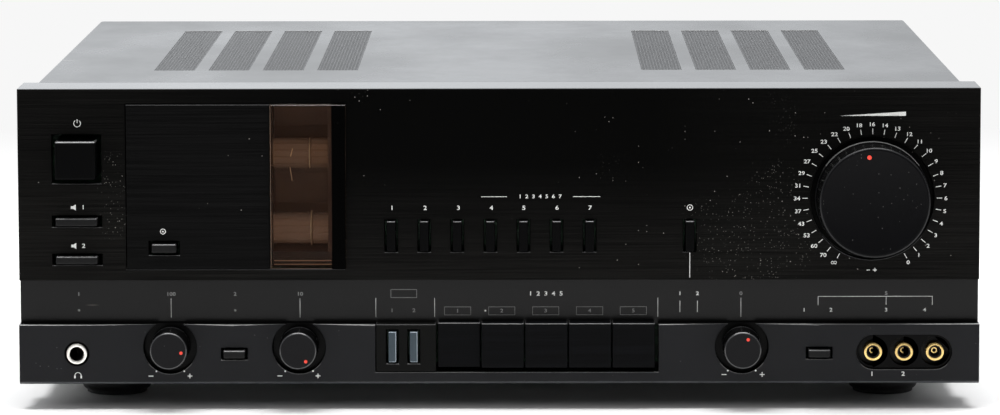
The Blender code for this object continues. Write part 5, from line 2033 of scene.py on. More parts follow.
@dataclass
class TubeStage:
    """Window, two tubes lying across it, and the copper tray that holds them."""

    fitter: Fitter
    mask_left: float = -76.0 * MM
    side_lip: float = 1.0 * MM
    lip_gap: float = 0.08 * MM
    plate_half: Span = (6.5 * MM, 6.6 * MM)
    plate_drop: Span = (1.7 * MM, 0.9 * MM)
    mica_places: Span = (-86.8 * MM, -86.2 * MM)
    mica_radius: Span = (6.9 * MM, 8.0 * MM)
    rib_pitch: float = 3.1 * MM
    rib_half: float = 0.4 * MM
    rib_height: float = 0.35 * MM
    dome_length: float = 4.5 * MM
    anode_start: float = 10.5 * MM
    mica_start: float = 9.6 * MM
    getter: Step = (0.4 * MM, 3.4 * MM)
    wire_thick: float = 0.3 * MM
    wire_gap: float = 1.6 * MM
    tray_sheet: float = 0.5 * MM
    tray_front: float = 3.4 * MM
    tray_back: float = 28.0 * MM
    flange: float = 2.3 * MM
    foot_flange: float = 7.4 * MM
    bead_heights: Span = (1.6 * MM, 3.3 * MM)
    wires: tuple[tuple[float, float, float, float], ...] = (
        (-95.4 * MM, 0.9 * MM, 114.6 * MM, 118.2 * MM),
        (-94.8 * MM, -0.9 * MM, 103.4 * MM, 109.6 * MM))

    def build(self) -> None:
        """Make the window, the tray and both tubes."""
        self.cast_window()
        self.fold_tray()
        self.blow_tube("tube_upper", 0)
        self.blow_tube("tube_lower", 1)
        self.fitter.dress("tube_bracket", "copper")

    def cast_window(self) -> None:
        """Cast the window block, black from its mask to its right side."""
        low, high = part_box("tube_window")
        lip_start = FACE_Y - self.lip_gap
        piece = box_piece("window_block", low, high)
        with editing(piece) as mesh:
            cut(Axis.WIDTH, self.mask_left)
            cut(Axis.DEPTH, lip_start)
            pick(mesh, "faces", lambda face: face.normal.x > SQUARE
                 and face.calc_center_median().y < lip_start)
            pull(self.side_lip, 0.0, 0.0)
        round_edges(piece, 0.35 * MM, 3)
        # Painted glints on the rim's roundings, and a painted highlight on those that face up.
        keep_lit(piece)
        mark_faces(piece, self.is_rim, 1)
        mark_faces(piece, lambda face: face.material_index == 1 and face.normal.z > PAINTED_HIGHLIGHT_SLOPE, 3)
        mark_faces(piece, lambda face: face.material_index == 0
                   and (face.center.x > self.mask_left or abs(face.normal.x) > SQUARE), 2)
        self.fitter.fit(piece, "window", "smoked_glass", replaces=["tube_window"],
                        others=["window_edge", "mask", "window_top"])

    def is_rim(self, face: bpy.types.MeshPolygon) -> bool:
        """Tell whether a face of the window lies on a rounding that takes a painted glint.

        Args:
            face: the face.

        Returns:
            True for a face that glints.
        """
        left = face.normal.x < -PAINTED_HIGHLIGHT_SLOPE
        foot = -0.6 < face.normal.z < -0.1 and face.center.x < self.mask_left
        right = face.normal.x > SQUARE and face.normal.y < -0.1
        return right or ((left or foot) and face.normal.y < -PAINTED_HIGHLIGHT_SLOPE)

    def fold_tray(self) -> None:
        """Fold the copper tray: open to the front, with a flange at its right and foot."""
        low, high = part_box("tube_window")
        front, back = FACE_Y + self.tray_front, FACE_Y + self.tray_back
        right = self.mask_left + 0.2 * MM
        foot = low.z + self.foot_flange
        piece = box_piece("tube_tray", (low.x + 0.4 * MM, front, foot),
                          (right, back, high.z - 0.4 * MM))
        with editing(piece) as mesh:
            pick(mesh, "faces", lambda face: face.normal.y < -SQUARE)
            bpy.ops.mesh.delete(type="FACE")
        with editing(piece, "EDGE") as mesh:
            pick_edges(mesh, lambda place: place.y - front < MERGE and right - place.x < MERGE)
            pull(-self.flange, 0.0, 0.0)
            pick_edges(mesh, lambda place: place.y - front < MERGE and place.z - foot < MERGE)
            pull(0.0, 0.0, 0.6 * MM - self.foot_flange)
        modify(piece, "SOLIDIFY", thickness=self.tray_sheet, offset=0.0)
        round_edges(piece, 0.12 * MM, 2, 50.0)
        # The foot flange takes a darker copper, and tray and foot glow a little: painted light.
        mark_faces(piece, lambda face: face.center.z < foot + 0.4 * MM, 2)
        self.fitter.fit(piece, "tray", "copper", others=["tray", "tray_foot"])
        # Thin copper beads along the tray's front glow: painted highlight lines.
        for index, up in enumerate(self.bead_heights):
            self.fitter.block(
                f"tray_bead_{index + 1}",
                (low.x + 1.3 * MM, front - 0.9 * MM, low.z + up - 0.2 * MM),
                (right - 0.6 * MM, front - 0.25 * MM, low.z + up + 0.2 * MM),
                0.15 * MM, "bead", "copper")

    def blow_tube(self, node: str, which: int) -> None:
        """Build one tube: envelope, base, anodes, micas, getter and support wires.

        Args:
            node: the tube's node.
            which: 0 for the upper one, 1 for the lower one.
        """
        low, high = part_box(node)
        radius = (high.z - low.z) / 2
        axis = Vector((0.0, (low.y + high.y) / 2, (low.z + high.z) / 2))
        tip, root = high.x, low.x
        shoulder = tip - self.dome_length
        dome = [(root + 4 * MM, 0.0), (root + 4 * MM, radius - 1.0 * MM),
                (root + 5.2 * MM, radius), (shoulder, radius),
                (shoulder + 1.4 * MM, radius - 0.9 * MM), (shoulder + 2.3 * MM, radius - 2.8 * MM),
                (shoulder + 2.8 * MM, radius - 5.6 * MM), (tip - 1.4 * MM, 1.8 * MM),
                (tip - 0.4 * MM, 1.1 * MM), (tip, 0.0)]
        self.fitter.turn(f"{node}_envelope", axis, Axis.WIDTH, dome, 64, "glass", "clear_glass",
                         replaces=[node])
        base = [(root, 0.0), (root, radius - 2.0 * MM), (root + 0.5 * MM, radius - 1.4 * MM),
                (root + 3.6 * MM, radius - 1.4 * MM), (root + 4.0 * MM, radius - 1.9 * MM),
                (root + 4.0 * MM, 0.0)]
        self.fitter.turn(f"{node}_base", axis, Axis.WIDTH, base, 48, "block")
        mica = self.mica_places[which]
        half = self.plate_half[which]
        axis = axis - Vector((0.0, 0.0, self.plate_drop[which]))
        # Each anode takes its own painted glow.
        glow = ("anode_upper", "anode_lower")[which]
        self.press_anode(f"{node}_anode_left", axis, (root + self.anode_start, mica - 0.4 * MM),
                         half, glow)
        self.press_anode(f"{node}_anode_right", axis, (mica + 0.9 * MM, shoulder - 0.6 * MM),
                         half, glow)
        rim = self.mica_radius[which]
        for index, x in enumerate((root + self.mica_start, mica)):
            disc = [(x, 0.0), (x, rim), (x + 0.1 * MM, rim + 0.1 * MM),
                    (x + 0.25 * MM, rim + 0.1 * MM), (x + 0.35 * MM, rim), (x + 0.35 * MM, 0.0)]
            self.fitter.turn(f"{node}_mica_{index + 1}", axis, Axis.WIDTH, disc, 32, "mica",
                             "clear_glass")
        self.wind_getter(node, axis, shoulder + 0.4 * MM)
        if which == 0:
            self.stand_wires(axis, half)

    def stand_wires(self, axis: Vector, half: float) -> None:
        """Stand two slanting support wires in front of the upper anode.

        Args:
            axis: a point on the tube's axis.
            half: half of the anode's height.
        """
        thick = self.wire_thick
        near = axis.y - 0.5 * half - self.wire_gap
        for index, (x, lean, foot, head) in enumerate(self.wires):
            wire = box_piece(f"support_wire_{index + 1}", (x, near, foot),
                             (x + thick, near + thick, head))
            with editing(wire, "VERT") as mesh:
                pick(mesh, "verts", lambda vertex: head - vertex.co.z < MERGE)
                push(lean, 0.0, 0.0)
            round_edges(wire, 0.08 * MM, 2)
            self.fitter.fit(wire, "mica", "silver")

    def press_anode(self, name: str, axis: Vector, span: Span, half: float, finish: str) -> None:
        """Press one anode box with stiffening ribs along it.

        Args:
            name: the piece's name.
            axis: a point on the tube's axis.
            span: the box's left and right end.
            half: half of its height.
            finish: its finish.
        """
        left, right = span
        piece = box_piece(name, (left, axis.y - 0.5 * half, axis.z - half),
                          (right, axis.y + 0.5 * half, axis.z + half))
        ribs = [axis.z - half + self.rib_pitch * (index + 0.5)
                for index in range(int(2 * half / self.rib_pitch))]
        with editing(piece) as mesh:
            for place in ribs:
                for shift in (-self.rib_half, self.rib_half):
                    cut(Axis.HEIGHT, place + shift)
            pick(mesh, "faces", lambda face: abs(face.normal.z) < 0.1 and any(
                abs(face.calc_center_median().z - place) < self.rib_half / 2 for place in ribs))
            bpy.ops.mesh.extrude_region_shrink_fatten(
                TRANSFORM_OT_shrink_fatten={"value": self.rib_height})
        round_edges(piece, 0.25 * MM, 2, 50.0)
        self.fitter.fit(piece, finish, "dark_steel")

    def wind_getter(self, node: str, axis: Vector, x: float) -> None:
        """Bend the small getter ring in the tube's end.

        Args:
            node: the tube's node.
            axis: a point on the tube's axis.
            x: where the ring stands.
        """
        wire, reach = self.getter
        steps = arc_steps((x, reach), wire, 0.0, 360.0, 8)
        steps[-1] = steps[0]
        self.fitter.turn(f"{node}_getter", axis, Axis.WIDTH, steps, 32, "nickel", "silver")


# Sockets


@dataclass
class Sockets:
    """Phones socket, phono sockets, speaker posts and the mains inlet."""

    fitter: Fitter
    phones_bore: float = 3.2 * MM
    phones_rim: float = 4.7 * MM
    phones_depth: float = 8.0 * MM
    phono_radius: float = 4.15 * MM
    phono_bore: float = 2.95 * MM
    pin_bore: float = 2.35 * MM
    phono_rows: float = 18.0 * MM
    post_rows: float = 20.0 * MM
    post_radius: float = 6.0 * MM
    plate: float = 2.0 * MM
    plate_sunk: float = 1.5 * MM
    pin_half: float = 1.0
    pin_half_height: float = 2.0
    pin_depths: Span = (16.5 * MM, 2.5 * MM)

    def build(self) -> None:
        """Make every socket."""
        self.turn_phones()
        self.front_phonos()
        self.rear_phonos()
        self.speaker_posts()
        self.mains_inlet()

    def turn_phones(self) -> None:
        """Turn the phones bush, a near-black ring round it that paints the shade of the gap in the
        panel, and its liner, and set its body behind them.
        """
        low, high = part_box("headphone_jack")
        centre = at(PHONES_X, 0.0, PHONES_Z)
        mouth = low.y - FACE_Y
        bore, rim, end = self.phones_bore, self.phones_rim, self.phones_depth
        bush = [(mouth + 0.5 * MM, rim), (mouth + 0.12 * MM, rim - 0.15 * MM),
                (mouth, rim - 0.45 * MM), (mouth, bore + 0.45 * MM),
                (mouth + 0.15 * MM, bore + 0.15 * MM), (mouth + 0.6 * MM, bore),
                (end, bore), (end, rim), (mouth + 0.5 * MM, rim)]
        self.fitter.turn("phones_bush", centre, Axis.DEPTH, bush, 64, "cream_metal", "silver",
                         replaces=["headphone_jack"])
        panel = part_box("lower_panel")[0].y - FACE_Y
        # Painted shade: a thin near-black ring fills the gap between the bush and the panel's hole.
        gap_shade = [(panel, rim + 0.05 * MM), (panel - 0.15 * MM, rim + 0.05 * MM),
                  (panel - 0.15 * MM, rim + 0.85 * MM), (panel, rim + 1.0 * MM),
                  (panel, rim + 0.05 * MM)]
        self.fitter.turn("phones_washer", centre, Axis.DEPTH, gap_shade, 64, "mask")
        inner = [(mouth + 2.0 * MM, bore - 0.05 * MM), (mouth + 2.0 * MM, bore - 0.35 * MM),
                 (20.0 * MM, bore - 0.5 * MM), (20.0 * MM, 0.0)]
        liner = turned("phones_liner", centre, Axis.DEPTH, inner, 48)
        modify(liner, "SOLIDIFY", thickness=0.25 * MM, offset=0.0)
        self.fitter.fit(liner, "block")
        self.fitter.block(
            "phones_body", (low.x + 0.5 * MM, FACE_Y + end, low.z + 0.5 * MM),
            (high.x - 0.5 * MM, high.y, high.z - 0.5 * MM), 0.5 * MM)

    def phono(self, name: str, place: Vector, side: int, back: float,
              tint: str) -> list[bpy.types.Object]:
        """Make one phono socket: plated shell, insulator and centre contact.

        Args:
            name: the socket's name.
            place: the middle of its mouth.
            side: 1 where it goes in along +Y, -1 where it goes in along -Y.
            back: how far its shell goes in.
            tint: the insulator's finish.

        Returns:
            Its pieces.
        """
        outer, bore = self.phono_radius, self.phono_bore
        shell = [(0.35 * MM, outer), (0.1 * MM, outer - 0.1 * MM), (0.0, outer - 0.35 * MM),
                 (0.0, bore + 0.25 * MM), (0.12 * MM, bore + 0.06 * MM), (0.4 * MM, bore),
                 (back, bore), (back, outer), (0.35 * MM, outer)]
        plug = [(back, bore - 0.02 * MM), (0.7 * MM, bore - 0.02 * MM),
                (0.55 * MM, bore - 0.18 * MM), (0.55 * MM, self.pin_bore + 0.15 * MM),
                (0.75 * MM, self.pin_bore), (back, self.pin_bore), (back, bore - 0.02 * MM)]
        tube = [(5.0 * MM, 0.9 * MM), (5.0 * MM, 1.35 * MM), (back - 0.2 * MM, 1.35 * MM),
                (back - 0.2 * MM, 0.9 * MM), (5.0 * MM, 0.9 * MM)]
        parts = (("shell", shell, "gold", "gold", 40),
                 ("insulator", plug, tint, "black_plastic", 32),
                 ("contact", tube, "gold", "gold", 16))
        return [self.fitter.turn(f"{name}_{part}", place, Axis.DEPTH,
                                 [(side * a, r) for a, r in profile], sides, finish, slot)
                for part, profile, finish, slot, sides in parts]

    def repeat(self, pieces: Sequence[bpy.types.Object], row: str, shifts: Sequence[float]) -> None:
        """Copy the pieces of a row's first socket along the row.

        Args:
            pieces: the first socket's pieces.
            row: the start of every name in the row.
            shifts: how far each copy lies from the first socket.
        """
        for index, shift in enumerate(shifts):
            for piece in pieces:
                part = piece.name.rsplit("_", 1)[1]
                copy = copied(piece, f"{row}_{index + 2}_{part}", (shift, 0.0, 0.0))
                finish = next(key for key, made in self.fitter.finishes.made.items()
                              if made == piece.data.materials[0])
                self.fitter.fit(copy, finish, "gold" if finish == "gold" else "black_plastic")

    def stand_plate(self, node: str, name: str) -> tuple[Vector, float, float]:
        """Stand a rear block's plate against the rear panel.

        Args:
            node: the block's node.
            name: the plate's name.

        Returns:
            The block's middle, the plate's face and the block's rear end.
        """
        low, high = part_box(node)
        face = REAR_FACE + self.plate
        self.fitter.block(name, (low.x, REAR_FACE - self.plate_sunk, low.z),
                          (high.x, face, high.z), 0.4 * MM, replaces=[node])
        return (low + high) / 2, face, high.y

    def front_phonos(self) -> None:
        """Make the three sockets at the right of the lower panel."""
        low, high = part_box("front_jack_block")
        place = Vector((FRONT_PHONOS[0], low.y, FRONT_PHONO_Z))
        first = self.phono("front_phono_1", place, 1, 9.0 * MM, "block")
        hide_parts("front_jack_block")
        self.repeat(first, "front_phono", [x - FRONT_PHONOS[0] for x in FRONT_PHONOS[1:]])
        self.fitter.block("front_phono_block", (low.x, low.y + 7.0 * MM, low.z), high, 0.5 * MM)

    def rear_phonos(self) -> None:
        """Make two rows of eight sockets on their rear plate, white above and red below."""
        middle, face, end = self.stand_plate("rear_jack_block", "rear_phono_plate")
        for row, (side, tint) in enumerate(((1, "white_plastic"), (-1, "red_plastic"))):
            place = Vector((middle.x - 3.5 * PHONO_PITCH, end,
                            middle.z + side * self.phono_rows / 2))
            name = f"rear_phono_{row + 1}"
            first = self.phono(f"{name}_1", place, -1, end - face, tint)
            self.repeat(first, name, [column * PHONO_PITCH for column in range(1, 8)])

    def speaker_posts(self) -> None:
        """Make four columns of binding posts on their plate, red above and black below."""
        middle, face, end = self.stand_plate("speaker_terminals", "speaker_post_plate")
        for row, (side, tint) in enumerate(((1, "red_plastic"), (-1, "block"))):
            place = Vector((middle.x - 1.5 * POST_PITCH, face,
                            middle.z + side * self.post_rows / 2))
            name = f"speaker_post_{row + 1}"
            first = self.post(f"{name}_1", place, end - face, tint)
            self.repeat(first, name, [column * POST_PITCH for column in range(1, 4)])

    def post(self, name: str, place: Vector, length: float, tint: str) -> list[bpy.types.Object]:
        """Make one binding post: collar, fluted cap and plated stud.

        Args:
            name: its name.
            place: the middle of its foot.
            length: how far it stands out.
            tint: its cap's finish.

        Returns:
            Its pieces.
        """
        radius = self.post_radius
        collar = turned(f"{name}_collar", place, Axis.DEPTH,
                        [(0.0, 0.0), (0.0, radius), (1.8 * MM, radius),
                         (2.3 * MM, radius - 0.6 * MM), (2.3 * MM, 0.0)], 40)
        cap = turned(f"{name}_cap", place, Axis.DEPTH,
                     [(3.2 * MM, 0.0), (3.2 * MM, radius - 0.6 * MM), (3.8 * MM, radius),
                      (length - 1.0 * MM, radius), (length - 0.2 * MM, radius - 0.7 * MM),
                      (length - 0.2 * MM, 2.2 * MM), (length - 1.2 * MM, 2.0 * MM),
                      (length - 1.2 * MM, 0.0)], 36)
        with editing(cap) as mesh:
            pick(mesh, "faces", lambda face: self.is_flute(face, place, length))
            bpy.ops.mesh.inset(thickness=0.12 * MM, depth=-0.45 * MM, use_individual=True)
        smooth(cap, 25.0)
        stud = turned(f"{name}_stud", place, Axis.DEPTH,
                      [(2.3 * MM, 0.0), (2.3 * MM, 2.6 * MM), (3.2 * MM, 2.6 * MM),
                       (3.2 * MM, 1.7 * MM), (length - 0.5 * MM, 1.7 * MM),
                       (length, 1.2 * MM), (length, 0.0)], 24)
        return [self.fitter.fit(collar, "block"), self.fitter.fit(cap, tint),
                self.fitter.fit(stud, "gold", "gold")]

    def is_flute(self, face: bmesh.types.BMFace, place: Vector, length: float) -> bool:
        """Tell whether a face is every second one round the cap's side.

        Args:
            face: the face.
            place: the middle of the post's foot.
            length: how far the post stands out.

        Returns:
            True for a flute.
        """
        centre = face.calc_center_median() - place
        along = 4.0 * MM < centre.y < length - 1.2 * MM
        outside = math.hypot(centre.x, centre.z) > 0.95 * self.post_radius
        turn = math.degrees(math.atan2(centre.z, centre.x)) % 360
        return along and outside and int(turn // 10) % 2 == 0

    def mains_inlet(self) -> None:
        """Refine the inlet and stand its three pins in it."""
        shell = refined("mains_inlet", "inlet_shell", 0.35 * MM, middles("mains_inlet"))
        self.fitter.fit(shell, "block", replaces=["mains_inlet"])
        low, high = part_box("mains_inlet")
        middle = (low + high) / 2
        wide, tall = self.pin_half, self.pin_half_height
        root, tip = (high.y - depth for depth in self.pin_depths)
        for index, (x, z) in enumerate(((-7.0, -2.0), (0.0, 2.0), (7.0, -2.0))):
            self.fitter.block(
                f"inlet_pin_{index + 1}",
                (middle.x + (x - wide) * MM, root, middle.z + (z - tall) * MM),
                (middle.x + (x + wide) * MM, tip, middle.z + (z + tall) * MM),
                0.4 * MM, "nickel", "silver", 3)


# Feet and what is inside


@dataclass
class Feet:
    """Four round feet with a rubber ring and a screw under each."""

    fitter: Fitter
    screws: Screws
    ring: float = 2.5 * MM
    hole: float = 5.0 * MM

    def build(self) -> None:
        """Turn each foot."""
        names = ("foot_front_left", "foot_front_right", "foot_rear_left", "foot_rear_right")
        for node in names:
            low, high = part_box(node)
            centre = Vector(((low.x + high.x) / 2, (low.y + high.y) / 2, low.z))
            radius, height = (high.x - low.x) / 2, high.z - low.z
            cup = [(self.ring, 0.0), (self.ring, radius - 3.5 * MM),
                   (self.ring - 0.6 * MM, radius - 3.0 * MM),
                   (self.ring - 0.6 * MM, radius - 1.6 * MM), (self.ring, radius - 1.0 * MM),
                   (self.ring + 1.5 * MM, radius - 0.2 * MM), (self.ring + 2.2 * MM, radius),
                   (height - 1.5 * MM, radius), (height - 0.4 * MM, radius - 0.3 * MM),
                   (height, radius - 1.0 * MM), (height, 0.0)]
            self.fitter.turn(f"{node}_cup", centre, Axis.HEIGHT, cup, 64, "block", "rubber",
                             replaces=[node])
            pad = [(0.0, self.hole), (0.0, radius - 3.2 * MM), (0.3 * MM, radius - 2.6 * MM),
                   (self.ring - 0.4 * MM, radius - 2.4 * MM), (self.ring, radius - 2.8 * MM),
                   (self.ring, self.hole), (0.0, self.hole)]
            self.fitter.turn(f"{node}_pad", centre, Axis.HEIGHT, pad, 48, "rubber", "rubber")
            self.screws.head(f"{node}_screw", centre + Vector((0.0, 0.0, self.ring)),
                             Axis.HEIGHT, -1)


@dataclass
class Inside:
    """The nodes that keep their solids and take better finishes."""

    fitter: Fitter
    finishes: Mapping[str, str] = field(default_factory=lambda: {
        "chassis_pan": "zinc", "front_frame": "dark_steel", "volume_shaft": "steel",
        "bass_shaft": "steel", "treble_shaft": "steel", "balance_shaft": "steel",
        "volume_pot": "steel", "upper_switch_board": "board", "lower_switch_board": "board",
        "transformer": "core", "main_board": "board", "capacitor_left": "can",
        "capacitor_right": "can", "heat_sink_left": "sink", "heat_sink_right": "sink"})

    def build(self) -> None:
        """Dress each node."""
        for node, finish in self.finishes.items():
            self.fitter.dress(node, finish)


@dataclass
class Rear:
    """Rear panel with its screws and plain print."""

    fitter: Fitter
    screws: Screws
    screw_columns: tuple[float, ...] = (-204.0, -70.0, 70.0, 204.0)
    screw_rows: Span = (138.0, 19.0)
    frame_margin: float = 3.0 * MM
    number_gap: float = 6.5 * MM

    def build(self) -> None:
        """Refine the panel and drive its screws."""
        panel = refined("rear_panel", "rear_plate", 0.25 * MM,
                        middles("rear_jack_block", "speaker_terminals", "mains_inlet"))
        self.fitter.fit(panel, "sheet", "satin_black_paint", replaces=["rear_panel"])
        places = [(x, z) for z in self.screw_rows for x in self.screw_columns]
        for index, (x, z) in enumerate(places):
            self.screws.head(f"rear_screw_{index + 1}", Vector((x * MM, REAR_FACE, z * MM)),
                             Axis.DEPTH, 1)
        self.print_marks()

    def print_marks(self) -> None:
        """Print plain frames and numbers round the sockets."""
        sheet = Print("rear_print", REAR_FACE - FACE_Y, Facing.REAR)
        for node, count, pitch in (("rear_jack_block", 8, PHONO_PITCH),
                                   ("speaker_terminals", 4, POST_PITCH)):
            low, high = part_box(node)
            edge = self.frame_margin
            sheet.box((low.x - edge, high.x + edge), (low.z - edge, high.z + edge), 0.6 * MM)
            for index in range(count):
                x = (low.x + high.x) / 2 + ((count - 1) / 2 - index) * pitch
                sheet.number(str(index + 1), x, high.z + self.number_gap, 3.6 * MM)
        sheet.done(self.fitter, "white_ink")


# Print on the front


@dataclass
class FrontPrint:
    """Ticks, numbers and plain signs on the front."""

    fitter: Fitter
    tick: float = 0.32 * MM
    digit: float = 1.65 * MM
    large_digit: float = 1.9 * MM
    dial_digit: float = 1.75 * MM
    first_turn: float = -150.0
    turn_step: float = 10.0
    tick_reach: Span = (29.3 * MM, 31.8 * MM)
    number_reach: float = 33.9 * MM

    def build(self) -> None:
        """Print each face."""
        self.print_dial()
        self.print_fascia()
        self.print_strip()
        self.print_lower()

    def print_dial(self) -> None:
        """Print the volume dial: a tick and a number every ten degrees."""
        low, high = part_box("volume_knob")
        x, z = (low.x + high.x) / 2, (low.z + high.z) / 2
        inner, outer = self.tick_reach
        numbers = [*(str(n) for n in (70, 60, 53, 43, 37, 34, 31, 29, 27, 25, 23, 22, 20, 18, 16)),
                   *(str(n) for n in range(14, -1, -1))]
        dial = Print("volume_dial", 0.0)
        for index, text in enumerate(["", *numbers]):
            turn = math.radians(self.first_turn + self.turn_step * index)
            dial.bar((x - self.tick / 2, x + self.tick / 2), (z + inner, z + outer), turn, (x, z))
            across = x - 0.4 * MM + self.number_reach * math.sin(turn)
            up = z - 0.2 * MM + self.number_reach * math.cos(turn)
            if text:
                dial.number(text, across, up, self.dial_digit)
                continue
            for side in (-1, 1):
                dial.ring(across + side * 0.62 * MM, up, 0.72 * MM, 0.26 * MM)
        dial.done(self.fitter, "white_ink")

    def print_fascia(self) -> None:
        """Print what stands beside the buttons of the fascia."""
        sheet = Print("fascia_print", 0.0)
        power_sign(sheet, -191.7 * MM, 131.1 * MM, 1.7 * MM)
        for z, text in ((92.6, "1"), (74.9, "2")):
            speaker_sign(sheet, -193.6 * MM, z * MM, 1.4 * MM)
            sheet.number(text, -189.4 * MM, z * MM, self.large_digit)
        wedge_sign(sheet, 170.0 * MM, 135.0 * MM, 30.0 * MM, 1.9 * MM)
        sheet.bar((167.6 * MM, 169.2 * MM), (63.25 * MM, 63.6 * MM))
        plus_sign(sheet, 171.4 * MM, 63.42 * MM, 0.9 * MM, 0.34 * MM)
        sheet.numbers({-48.7: "1", -33.6: "2", -18.4: "3", -3.4: "4", 11.4: "5", 26.5: "6",
                       41.5: "7"}, 92.1, self.large_digit)
        for left, right in ((-8.1, 3.7), (33.8, 46.1)):
            sheet.bar((left * MM, right * MM), (97.15 * MM, 97.4 * MM))
        sheet.number("1  2  3  4  5  6  7", 18.8 * MM, 97.3 * MM, self.digit)
        sheet.ring(87.0 * MM, 92.2 * MM, 1.4 * MM, 0.3 * MM)
        sheet.dot(87.0 * MM, 92.2 * MM, 0.42 * MM)
        sheet.bar((86.85 * MM, 87.15 * MM), (60.0 * MM, 71.5 * MM))
        sheet.done(self.fitter, "white_ink")
        inset = Print("heater_sign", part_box("inset_panel")[0].y - FACE_Y)
        inset.ring(-153.1 * MM, 81.6 * MM, 1.3 * MM, 0.3 * MM)
        inset.dot(-153.1 * MM, 81.6 * MM, 0.42 * MM)
        inset.done(self.fitter, "white_ink")

    def print_strip(self) -> None:
        """Print the strip: boxes, brackets, lines and numbers."""
        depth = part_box("indicator_strip")[0].y - FACE_Y
        sheet = Print("strip_print", depth)
        fine = Print("strip_fine_print", depth)
        fine.box((-49.6 * MM, -37.6 * MM), (50.2 * MM, 54.1 * MM), 0.2 * MM)
        fine.numbers({-49.0: "1", -39.0: "2"}, 44.3, self.digit)
        for index, x in enumerate((-19.0, 1.2, 21.3, 41.4, 61.4)):
            fine.box(((x - 6.1) * MM, (x + 6.1) * MM), (42.15 * MM, 46.05 * MM), 0.2 * MM)
            fine.numbers({x: str(index + 1)}, 44.1, self.digit)
        fine.numbers({-192.3: "1", -150.1: "100", -120.8: "2", -91.1: "10", 110.6: "0",
                      177.0: "5"}, 52.0, self.digit)
        fine.done(self.fitter, "grey_ink")
        sheet.numbers({21.4: "1  2  3  4  5"}, 52.0, self.large_digit)
        sheet.dot(-6.3 * MM, 44.2 * MM, 0.45 * MM)
        for x, text in ((82.7, "1"), (90.7, "2")):
            sheet.uprights([x], (43.5, 48.7), 0.14)
            sheet.numbers({x: text}, 52.0, self.digit)
        sheet.bar((145.8 * MM, 198.2 * MM), (50.5 * MM, 50.7 * MM))
        sheet.uprights((145.9, 177.0, 198.1), (46.6, 50.6), 0.1)
        sheet.uprights((-150.1, -91.1, 110.6), (41.2, 50.0), 0.1)
        sheet.uprights((-56.4, -29.5, 72.6), (41.3, 50.1), 0.1)
        sheet.numbers({139.5: "1", 151.8: "2", 177.0: "3", 194.6: "4"}, 44.3, self.digit)
        sheet.done(self.fitter, "white_ink")
        for index, (x, z) in enumerate(((-192.3, 44.6), (-120.8, 44.5))):
            lens = [(0.3 * MM, 0.0), (0.3 * MM, 0.55 * MM), (-0.02 * MM, 0.55 * MM),
                    (-0.12 * MM, 0.42 * MM), (-0.18 * MM, 0.25 * MM), (-0.2 * MM, 0.0)]
            self.fitter.turn(f"lamp_lens_{index + 1}", at(x * MM, depth, z * MM), Axis.DEPTH,
                             lens, 24, "lens", "frosted_plastic")

    def print_lower(self) -> None:
        """Print the lower panel: signs, end marks and numbers."""
        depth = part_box("lower_panel")[0].y - FACE_Y
        sheet = Print("lower_print", depth)
        phones_sign(sheet, -192.3 * MM, 15.7 * MM, 1.6 * MM)
        for left, right, z in ((-159.0, -141.2, 15.5), (-100.1, -82.7, 15.5),
                               (102.6, 120.0, 15.9)):
            sheet.bar(((left - 1.1) * MM, (left + 1.1) * MM), ((z - 0.2) * MM, (z + 0.2) * MM))
            plus_sign(sheet, right * MM, z * MM, 1.1 * MM, 0.4 * MM)
        for x in (-150.1, -91.3, 110.7):
            for turn in (-150, 150):
                angle = math.radians(turn)
                sheet.dot((x + 12.7 * math.sin(angle)) * MM, (28.7 + 12.7 * math.cos(angle)) * MM,
                          0.4 * MM, 12)
        sheet.numbers({170.1: "1", 184.3: "2"}, 16.1, self.large_digit)
        sheet.done(self.fitter, "white_ink")


def power_sign(sheet: Print, x: float, z: float, radius: float) -> None:
    """Print the sign for power: a ring open at its top, with a stroke."""
    sheet.ring(x, z, radius, 0.16 * radius, 70.0)
    sheet.bar((x - 0.08 * radius, x + 0.08 * radius), (z + 0.1 * radius, z + 1.15 * radius))


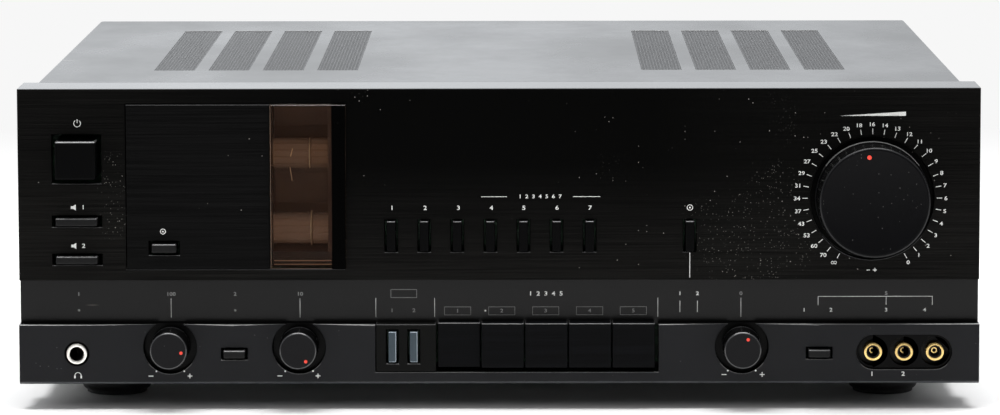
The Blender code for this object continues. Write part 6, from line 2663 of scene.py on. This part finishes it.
def speaker_sign(sheet: Print, x: float, z: float, half: float) -> None:
    """Print the sign for a loudspeaker: a magnet with its cone.

    Args:
        sheet: the print that it joins.
        x: its middle.
        z: its middle.
        half: half of its height.
    """
    sheet.bar((x - half, x - 0.3 * half), (z - 0.45 * half, z + 0.45 * half))
    sheet.shape(x, z, [(-0.3 * half, -0.45 * half), (0.6 * half, -half), (0.6 * half, half),
                       (-0.3 * half, 0.45 * half)])


def wedge_sign(sheet: Print, x: float, z: float, width: float, height: float) -> None:
    """Print a wedge that grows to the right, the sign for volume."""
    sheet.shape(x, z, [(-width / 2, -height / 2), (width / 2, -height / 2),
                       (width / 2, height / 2)])


def plus_sign(sheet: Print, x: float, z: float, half: float, line: float) -> None:
    """Print a plus, turning one arm's corners four times.

    Args:
        sheet: the print that it joins.
        x: its middle.
        z: its middle.
        half: half of its width.
        line: its line's width.
    """
    arm = [(half, -line / 2), (half, line / 2), (line / 2, line / 2)]
    outline = []
    for _ in range(4):
        outline.extend(arm)
        arm = [(-up, across) for across, up in arm]
    sheet.shape(x, z, outline)


def phones_sign(sheet: Print, x: float, z: float, half: float) -> None:
    """Print the sign for headphones: a bow with two cups.

    Args:
        sheet: the print that it joins.
        x: its middle.
        z: its foot.
        half: half of its width.
    """
    count = 14
    angles = [math.pi * index / count for index in range(count + 1)]
    outer = [(half * math.cos(a), half * math.sin(a)) for a in angles]
    inner = [(0.82 * half * math.cos(a), 0.82 * half * math.sin(a)) for a in angles]
    sheet.shape(x, z, outer + inner[::-1])
    for side in (-1, 1):
        sheet.bar((x + side * 0.9 * half - 0.22 * half, x + side * 0.9 * half + 0.22 * half),
                  (z - 0.75 * half, z + 0.05 * half))


def main() -> None:
    """Build the studio and every sub-assembly, in order."""
    logging.basicConfig(level=logging.INFO, format="%(message)s")
    Studio().build()
    fitter = Fitter(Finishes())
    screws = Screws(fitter)
    assemblies = (TopCover(fitter, screws), FrontPlates(fitter), Buttons(fitter), Knobs(fitter),
                  TubeStage(fitter), Sockets(fitter), Feet(fitter, screws), Rear(fitter, screws),
                  Inside(fitter), FrontPrint(fitter))
    for assembly in assemblies:
        LOG.info("building %s", type(assembly).__name__)
        assembly.build()
    drop_selection()


if __name__ == "__main__":
    main()
